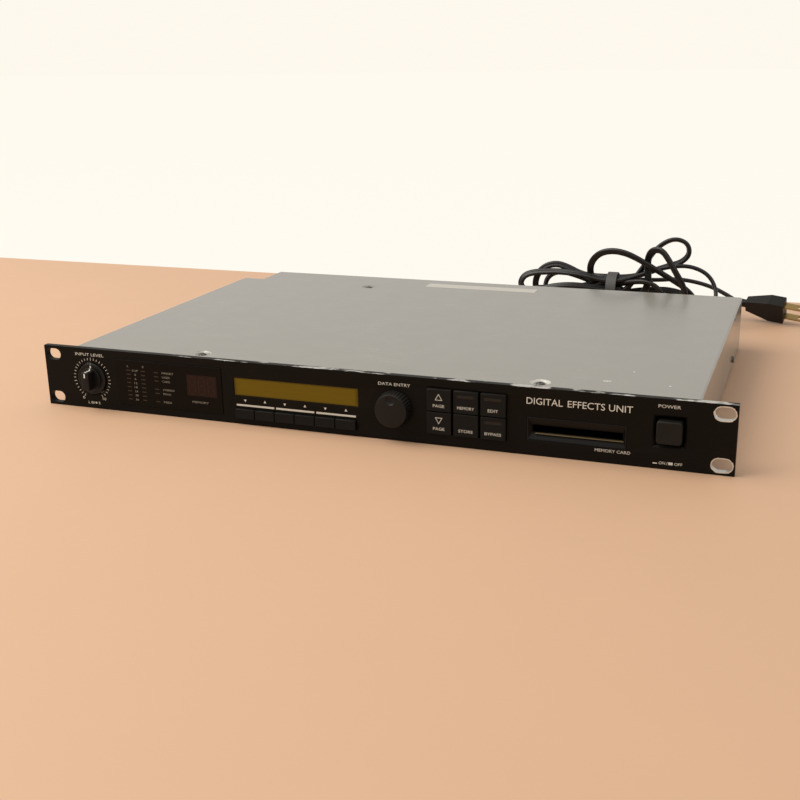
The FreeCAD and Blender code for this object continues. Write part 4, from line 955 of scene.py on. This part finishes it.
class FunctionKeysOperator(bpy.types.Operator):
    """The six square keys with their printed signs and lamp windows"""

    bl_idname = "effects.function_keys"
    bl_label = "Function keys"

    def execute(self, context):
        for node, (words, wide) in FUNCTION_KEYS.items():
            body = f"{node}_body"
            add_piece(node.replace("_key", "_cap"), key_cap(node), "key plastic", body, (node,))
            low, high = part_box(node)
            x, z = (low.x + high.x) / 2 / MM, (low.z + high.z) / 2 / MM
            face = low.y + 0.00008
            print_bm = bmesh.new()
            write(print_bm, words, x - wide / 2, x + wide / 2, z - 3.55, 1.9, face)
            if words == "PAGE":
                rise, turn = (1.6, 0.0) if node == "page_up_key" else (2.5, math.pi)
                sign(print_bm, x, z + rise, 2.9, face, 3, turn, 0.36)
            add_piece(node.replace("_key", "_print"), print_bm, "white ink", body, sharp=20.0)
            if node in ("memory_key", "edit_key", "bypass_key"):
                lamp = bmesh.new()
                verts = add_block(lamp, ((x - 5.5) * MM, face - 0.00016, (z + 2.8) * MM),
                                  ((x + 5.5) * MM, face + 0.0008, (z + 4.8) * MM))
                round_off(lamp, edges_along(verts, 1), 0.0004, 2)
                add_piece(node.replace("_key", "_lamp"), lamp, "lamp lens", body)
        return {"FINISHED"}


# ---------------------------------------------------------------- input level control
class LevelOperator(bpy.types.Operator):
    """The level ring and the bar grip in front of it, with their white pointer"""

    bl_idname = "effects.level"
    bl_label = "Level control"

    def execute(self, context):
        low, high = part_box("level_ring")
        centre = Vector(((low.x + high.x) / 2, 0.0, 0.0))
        bm = bmesh.new()
        turn_shape(bm, [(RING_BORE, high.y), (RING_RADIUS - 0.0002, high.y), (RING_RADIUS, high.y - 0.0002),
                        (RING_RADIUS, low.y + 0.0007), (RING_RADIUS - 0.00015, low.y + 0.0003),
                        (RING_RADIUS - 0.0004, low.y + 0.0001), (RING_RADIUS - 0.0008, low.y),
                        (RING_RADIUS - 0.0016, low.y), (RING_RADIUS - 0.0018, low.y + 0.00015),
                        (RING_BORE, low.y + 0.00015), (RING_BORE, high.y)], centre, 128)
        add_piece("level_dial", bm, "knob plastic", "level_ring_body", ("level_ring",))

        low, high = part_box("level_grip")
        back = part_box("level_ring")[0].y - 0.0003
        disc_face = back - 0.0008
        bm = bmesh.new()
        turn_shape(bm, [(0, high.y), (0.005, high.y), (0.005, back), (DISC_RADIUS - 0.0002, back),
                        (DISC_RADIUS, back - 0.0002), (DISC_RADIUS, back - 0.0006),
                        (DISC_RADIUS - 0.0002, disc_face), (0, disc_face)], centre, 96)
        verts = add_block(bm, (centre.x - GRIP_HALF_WIDTH, low.y, -GRIP_HALF_HEIGHT),
                          (centre.x + GRIP_HALF_WIDTH, back - 0.0004, GRIP_HALF_HEIGHT))
        round_off(bm, edges_along(verts, 1), 0.0012, 4)
        front = edges_where(bm, lambda co: co.y < low.y + 1e-6)
        round_off(bm, front, 0.0007, 4)
        add_piece("level_bar", bm, "knob plastic", "level_grip_body", ("level_grip",))

        marks = bmesh.new()
        ring_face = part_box("level_ring")[0].y + 0.00015
        bar(marks, centre.x / MM, 9.6, 0.95, 3.2, ring_face)
        add_piece("level_dial_mark", marks, "pointer ink", "level_ring_body")
        # the pointer runs down the disc, the end of the bar and its front
        marks = bmesh.new()
        depth, half = sizes().print_depth, 0.0005
        bar(marks, centre.x / MM, 7.2, 0.95, 1.4, disc_face)
        add_block(marks, (centre.x - half, low.y - depth, 0.0028), (centre.x + half, low.y + depth, 0.0058))
        add_block(marks, (centre.x - half, low.y + 0.0006, 0.0064),
                  (centre.x + half, disc_face, GRIP_HALF_HEIGHT + depth))
        add_piece("level_bar_mark", marks, "pointer ink", "level_grip_body")
        for node in ("level_outer_shaft", "level_inner_shaft"):
            paint_node(node, "turned steel")
        paint_node("level_pot", "pressed case steel")
        return {"FINISHED"}


# ---------------------------------------------------------------- data dial
class DialOperator(bpy.types.Operator):
    """The shallow data dial with a ribbed rim and a finger dimple"""

    bl_idname = "effects.dial"
    bl_label = "Data dial"

    def execute(self, context):
        low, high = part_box("data_dial")
        x = (low.x + high.x) / 2
        face, back = low.y, PANEL_FACE - 0.0003
        bm = bmesh.new()
        rings = []
        # rings from the back to the face, as (radius, y, how deep the grooves are)
        steps = [(0.0122, back, 0.00045), (0.0118, back - 0.0024, 0.00045), (0.0113, face + 0.0016, 0.00040),
                 (0.0110, face + 0.0007, 0.00025), (0.0107, face + 0.0002, 0.00008), (0.0102, face, 0.0)]
        for radius, y, groove in steps:
            verts = bmesh.ops.create_circle(bm, segments=144, radius=radius)["verts"]
            deep = [vert for index, vert in enumerate(verts) if index % 4 in (2, 3)]
            ratio = (radius - groove) / radius
            bmesh.ops.scale(bm, vec=(ratio, ratio, 1), verts=deep)
            shape = Matrix.Translation((x, y, 0)) @ Matrix.Rotation(math.pi / 2, 4, "X")
            bmesh.ops.transform(bm, matrix=shape, verts=verts)
            rings.append(verts)
        loops = [list({edge for vert in ring for edge in vert.link_edges}) for ring in rings]
        for first, last in zip(loops, loops[1:]):
            bmesh.ops.bridge_loops(bm, edges=first + last)
        # the dimple is a spun bowl whose rim joins the face
        bowl_centre = Vector((x, face, 0.0075))
        bowl_radius, bowl_depth, bowl_start = 0.0031, 0.0011, 0.00008
        profile = [(bowl_radius + 0.0003, 0.0)]
        profile += [(bowl_radius * math.cos(math.radians(a)),
                     bowl_depth * math.sin(math.radians(a)) + bowl_start) for a in (6, 20, 36, 52, 68, 82)]
        profile.append((0.0, bowl_depth + bowl_start))
        before = set(bm.verts)
        turn_shape(bm, profile, bowl_centre, 48)
        rim = [vert for vert in bm.verts if vert not in before
               and abs((vert.co - bowl_centre).length - profile[0][0]) < 2e-6]
        rim_edges = [edge for edge in bm.edges if edge.verts[0] in rim and edge.verts[1] in rim]
        outer_edges = [edge for edge in loops[-1] if edge.is_valid]
        bmesh.ops.bridge_loops(bm, edges=outer_edges + rim_edges)
        # the back is closed and a hub stands behind it
        base = [edge for edge in bm.edges if edge.is_boundary]
        bmesh.ops.contextual_create(bm, geom=base)
        turn_shape(bm, [(0, high.y), (0.007, high.y), (0.007, back), (0, back)], Vector((x, 0, 0)), 48)
        add_piece("jog_dial", bm, "knob plastic", "dial_body", ("data_dial",), sharp=30.0)
        paint_node("dial_shaft", "turned steel")
        paint_node("dial_encoder", "pressed case steel")
        return {"FINISHED"}


# ---------------------------------------------------------------- power button
class PowerOperator(bpy.types.Operator):
    """The square power button with its plunger"""

    bl_idname = "effects.power"
    bl_label = "Power button"

    def execute(self, context):
        low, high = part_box("power_button")
        x, z = (low.x + high.x) / 2, (low.z + high.z) / 2
        bm = bmesh.new()
        verts = add_block(bm, (low.x, low.y, low.z), (high.x, low.y + 0.015, high.z))
        round_off(bm, edges_along(verts, 1), 0.0020, 6)
        front = edges_where(bm, lambda co: co.y < low.y + 1e-6)
        round_off(bm, front, sizes().button_edge, 4)
        bm.normal_update()
        face = max((item for item in bm.faces if item.normal.y < -0.999), key=lambda item: item.calc_area())
        for ratio, push in ((0.90, 0.00006), (0.84, 0.00011), (0.72, 0.00012), (0.45, 0.00008)):
            face = nest(bm, face, ratio, push)
        add_block(bm, (x - 0.002, low.y + 0.014, z - 0.002), (x + 0.002, high.y, z + 0.002))
        add_piece("power_cap", bm, "knob plastic", "power_body", ("power_button",))
        paint_node("power_switch", "connector plastic")
        return {"FINISHED"}


# ---------------------------------------------------------------- memory card slot
class CardOperator(bpy.types.Operator):
    """The card slot's bezel, with a brassy strip along its lower lip whose brightness is painted highlight
    where the sloped lip catches light
    """

    bl_idname = "effects.card"
    bl_label = "Card slot"

    def execute(self, context):
        eased_copy("card_frame", "card_bezel", "bezel plastic", "chassis", 0.0003)
        low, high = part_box("card_bezel")
        # Painted highlight: a thin bright strip along the bezel's lower lip, where the sloped lip catches
        # light.
        bm = bmesh.new()
        verts = add_block(bm, (low.x + 0.0062, low.y + 0.0010, -0.0081),
                          (high.x - 0.0030, low.y + 0.0034, -0.00755))
        round_off(bm, edges_along(verts, 0), 0.0003, 3)
        add_piece("card_lip_highlight", bm, "painted highlight lip", "chassis")
        paint_node("card_cage", "connector plastic")
        return {"FINISHED"}


# ---------------------------------------------------------------- cover and tray
# Flat sheet faces over this area, in square metres, are shaded flat.
LARGE_FLAT = 0.0005
# Points closer than this, in metres, are taken to be in line.
NEAR = 1e-5


class CoverOperator(bpy.types.Operator):
    """The folded cover with its screw dishes, screws and label strip, and the tray under it"""

    bl_idname = "effects.cover"
    bl_label = "Cover"

    def execute(self, context):
        low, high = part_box("top_cover")
        bm = copy_of("top_cover")

        def folded(edge):
            """Whether a top edge is one of the two side folds or a fold of the cut-out corner."""
            a, b = (vert.co for vert in edge.verts)
            if abs(a.z - high.z) > NEAR or abs(b.z - high.z) > NEAR:
                return False
            lengthwise, crosswise = abs(a.x - b.x) < NEAR, abs(a.y - b.y) < NEAR
            at_side = min(abs(a.x - low.x), abs(a.x - high.x)) < NEAR
            in_corner = max(a.x, b.x) < low.x + 0.03
            at_back = a.y > 0.25 and b.y > 0.25
            inside = 0.2 < a.y < high.y - 0.01
            side_fold = lengthwise and (at_side or (in_corner and at_back))
            return side_fold or (crosswise and in_corner and inside)

        round_off(bm, [edge for edge in bm.edges if folded(edge)], sizes().cover_bend, 5)
        cover = add_piece("cover_shell", bm, "semi-gloss grey enamel", "chassis", ("top_cover",),
                          sharp=16.0, outward=False)
        for face in cover.data.polygons:
            face.use_smooth = face.area < LARGE_FLAT
        ease(cover, 0.00035, 2, 24.0)
        eased_copy("cover_screw_set", "cover_screws", "screw steel", "chassis", 0.00012)
        eased_copy("base_tray", "chassis_tray", "bright zinc", "chassis", 0.0002)

        strip = bmesh.new()
        verts = add_block(strip, (-0.0485, -0.0068, CASE_TOP - 0.00005), (0.0485, 0.0068, CASE_TOP + 0.00012))
        round_off(strip, edges_along(verts, 2), 0.0008, 3)
        bmesh.ops.translate(strip, vec=(0.0034, 0.27175, 0), verts=strip.verts)
        add_piece("label_strip", strip, "paper label", "chassis")
        return {"FINISHED"}


# ---------------------------------------------------------------- rear side
# Words on the rear panel, in millimetres: text, left end, right end, middle height.
REAR_WORDS = [
    ("INPUT R", -188.0, -176.0, 17.6), ("INPUT L", -156.0, -144.0, 17.6), ("INPUT", -119.5, -110.5, 10.5),
    ("LEVEL", -94.5, -85.5, 10.5), ("FOOT SW", -80.5, -67.5, 10.5), ("OUTPUT", -52.8, -41.2, 10.5),
    ("LEVEL", -26.5, -17.5, 10.5), ("OUTPUT R", -1.0, 13.0, 17.6), ("OUTPUT L", 31.0, 45.0, 17.6),
    ("MIDI IN", 73.5, 86.5, 13.6), ("MIDI OUT", 98.5, 113.5, 13.6),
]


class RearOperator(bpy.types.Operator):
    """The rear panel, its sockets, level switches and printed words"""

    bl_idname = "effects.rear"
    bl_label = "Rear side"

    def execute(self, context):
        eased_copy("rear_plate", "rear_panel", "satin black enamel", "chassis", 0.00015)
        eased_copy("input_sockets", "xlr_inputs", "connector plastic", "chassis", 0.0002)
        eased_copy("output_sockets", "xlr_outputs", "nickel", "chassis", 0.0002)
        eased_copy("jack_sockets", "phone_jacks", "connector plastic", "chassis", 0.00015)
        eased_copy("midi_socket_pair", "midi_sockets", "connector plastic", "chassis", 0.0002)
        paint_node("level_switches", "pressed case steel")
        for side in ("input", "output"):
            eased_copy(f"{side}_slider", f"{side}_level_lever", "white moulding", f"{side}_lever_body",
                       0.0002)
        bm = bmesh.new()
        for words, left, right, middle in REAR_WORDS:
            write(bm, words, left, right, middle, 1.9, REAR_FACE, rear=True)
        add_piece("rear_print", bm, "white ink", "chassis", sharp=20.0)
        return {"FINISHED"}


# ---------------------------------------------------------------- inside
INSIDE = {
    "meter_lamps": "lamp lens", "number_display": "number pane", "display_module": "pressed case steel",
    "push_switches": "chip package", "front_board": "circuit board", "control_nuts": "nickel",
    "main_board": "circuit board", "board_standoffs": "turned steel", "logic_chips": "chip package",
    "power_board": "power circuit board", "filter_capacitors": "capacitor sleeve",
    "heat_sink": "extruded aluminium", "transformer": "laminations", "mains_wiring": "wire insulation",
    "ribbon_cable": "flat cable",
}


class InsideOperator(bpy.types.Operator):
    """Finishes of the pieces inside the case"""

    bl_idname = "effects.inside"
    bl_label = "Inside"

    def execute(self, context):
        for node, material in INSIDE.items():
            paint_node(node, material)
        return {"FINISHED"}


# ---------------------------------------------------------------- studio
# Camera: where it stands in metres, and how it is turned: azimuth, elevation and roll in degrees.
CAMERA_PLACE = (0.27818, -0.65206, 0.22349)
CAMERA_ANGLES = (20.821, 17.439, -1.081)
# Focal length and width of the sensor, in millimetres.
CAMERA_LENS = 51.13
CAMERA_SENSOR = 36.0
# Where the floor gives way to the bright backdrop, along Y in metres.
FLOOR_END = 0.485
SKY_LIGHT = (0.58, 0.57, 0.55, 1.0)
SKY_SEEN = (0.99, 0.94, 0.85, 1.0)
# Area lights: name, place, what they point at, size, power, tint.
LIGHTS = (
    ("key", (-1.2, -0.3, 1.6), (0.0, 0.12, 0.0), (1.8, 1.8), 40.0, (1.0, 0.96, 0.90)),
    ("fill", (0.9, -1.5, 1.1), (0.0, 0.0, 0.0), (1.2, 0.9), 3.0, (1.0, 0.95, 0.88)),
)


def add_light(name, place, target, size, power, tint):
    """A rectangular light that points at its target."""
    lamp = bpy.data.lights.new(name, "AREA")
    lamp.shape = "RECTANGLE"
    lamp.size, lamp.size_y = size
    lamp.energy = power
    lamp.color = tint
    holder = bpy.data.objects.new(name, lamp)
    bpy.context.scene.collection.objects.link(holder)
    holder.location = place
    holder.rotation_euler = (Vector(target) - Vector(place)).to_track_quat("-Z", "Y").to_euler()


class StageOperator(bpy.types.Operator):
    """The camera, the floor, the backdrop and the studio lights"""

    bl_idname = "effects.stage"
    bl_label = "Studio"

    def execute(self, context):
        scene = context.scene
        camera = bpy.data.cameras.new("camera")
        camera.lens = CAMERA_LENS
        camera.sensor_width = CAMERA_SENSOR
        camera.clip_start = 0.01
        holder = bpy.data.objects.new("camera", camera)
        scene.collection.objects.link(holder)
        azimuth, elevation, roll = (math.radians(angle) for angle in CAMERA_ANGLES)
        back = Vector((math.sin(azimuth) * math.cos(elevation), -math.cos(azimuth) * math.cos(elevation),
                       math.sin(elevation)))
        right = (-back).cross(Vector((0, 0, 1))).normalized()
        upward = right.cross(-back)
        side = right * math.cos(roll) + upward * math.sin(roll)
        top = upward * math.cos(roll) - right * math.sin(roll)
        turn = Matrix((side, top, back)).transposed().to_4x4()
        holder.matrix_world = Matrix.Translation(CAMERA_PLACE) @ turn
        scene.camera = holder

        for name, near, far in (("floor", -6.0, FLOOR_END), ("backdrop", FLOOR_END, 9.0)):
            bm = bmesh.new()
            bmesh.ops.create_grid(bm, x_segments=4, y_segments=4, size=1.0)
            bmesh.ops.scale(bm, vec=(8.0, (far - near) / 2, 1.0), verts=bm.verts)
            bmesh.ops.translate(bm, vec=(0, (far + near) / 2, FLOOR_LEVEL), verts=bm.verts)
            mesh = bpy.data.meshes.new(name)
            bm.to_mesh(mesh)
            bm.free()
            mesh.materials.append(finish(name))
            sheet = bpy.data.objects.new(name, mesh)
            scene.collection.objects.link(sheet)

        world = bpy.data.worlds.new("studio")
        world.use_nodes = True
        net = Net(world.node_tree)
        seen = net.add("ShaderNodeLightPath").outputs["Is Camera Ray"]
        sky = world.node_tree.nodes["Background"]
        world.node_tree.links.new(net.mix(seen, SKY_LIGHT, SKY_SEEN), sky.inputs["Color"])
        scene.world = world
        scene.view_settings.view_transform = "Standard"
        for light in LIGHTS:
            add_light(*light)
        return {"FINISHED"}


# ---------------------------------------------------------------- panel and start
class EffectsPanel(bpy.types.Panel):
    """Lists the pieces of the effects unit"""

    bl_idname = "EFFECTS_PT_pieces"
    bl_label = "Effects unit"
    bl_space_type = "VIEW_3D"
    bl_region_type = "UI"
    bl_category = "Effects unit"

    def draw(self, context):
        for group in (context.scene.effects_sizes, context.scene.effects_colours):
            box = self.layout.box()
            for name in group.__annotations__:
                box.prop(group, name)
        for operator in OPERATORS:
            self.layout.operator(operator.bl_idname)


OPERATORS = (StageOperator, CordOperator, PlateOperator, WindowOperator, SoftKeysOperator,
             FunctionKeysOperator, LevelOperator, DialOperator, PowerOperator, CardOperator,
             CoverOperator, RearOperator, InsideOperator)
CLASSES = (EffectsSizes, EffectsColours, *OPERATORS, EffectsPanel)


def register():
    for item in CLASSES:
        bpy.utils.register_class(item)
    bpy.types.Scene.effects_sizes = bpy.props.PointerProperty(type=EffectsSizes)
    bpy.types.Scene.effects_colours = bpy.props.PointerProperty(type=EffectsColours)


def unregister():
    del bpy.types.Scene.effects_sizes
    del bpy.types.Scene.effects_colours
    for item in reversed(CLASSES):
        bpy.utils.unregister_class(item)


def main():
    register()
    build_groups()
    build_finishes()
    bpy.ops.effects.stage()
    bpy.ops.effects.cord()
    bpy.ops.effects.plate()
    bpy.ops.effects.windows()
    bpy.ops.effects.soft_keys()
    bpy.ops.effects.function_keys()
    bpy.ops.effects.level()
    bpy.ops.effects.dial()
    bpy.ops.effects.power()
    bpy.ops.effects.card()
    bpy.ops.effects.cover()
    bpy.ops.effects.rear()
    bpy.ops.effects.inside()


if __name__ == "__main__":
    main()
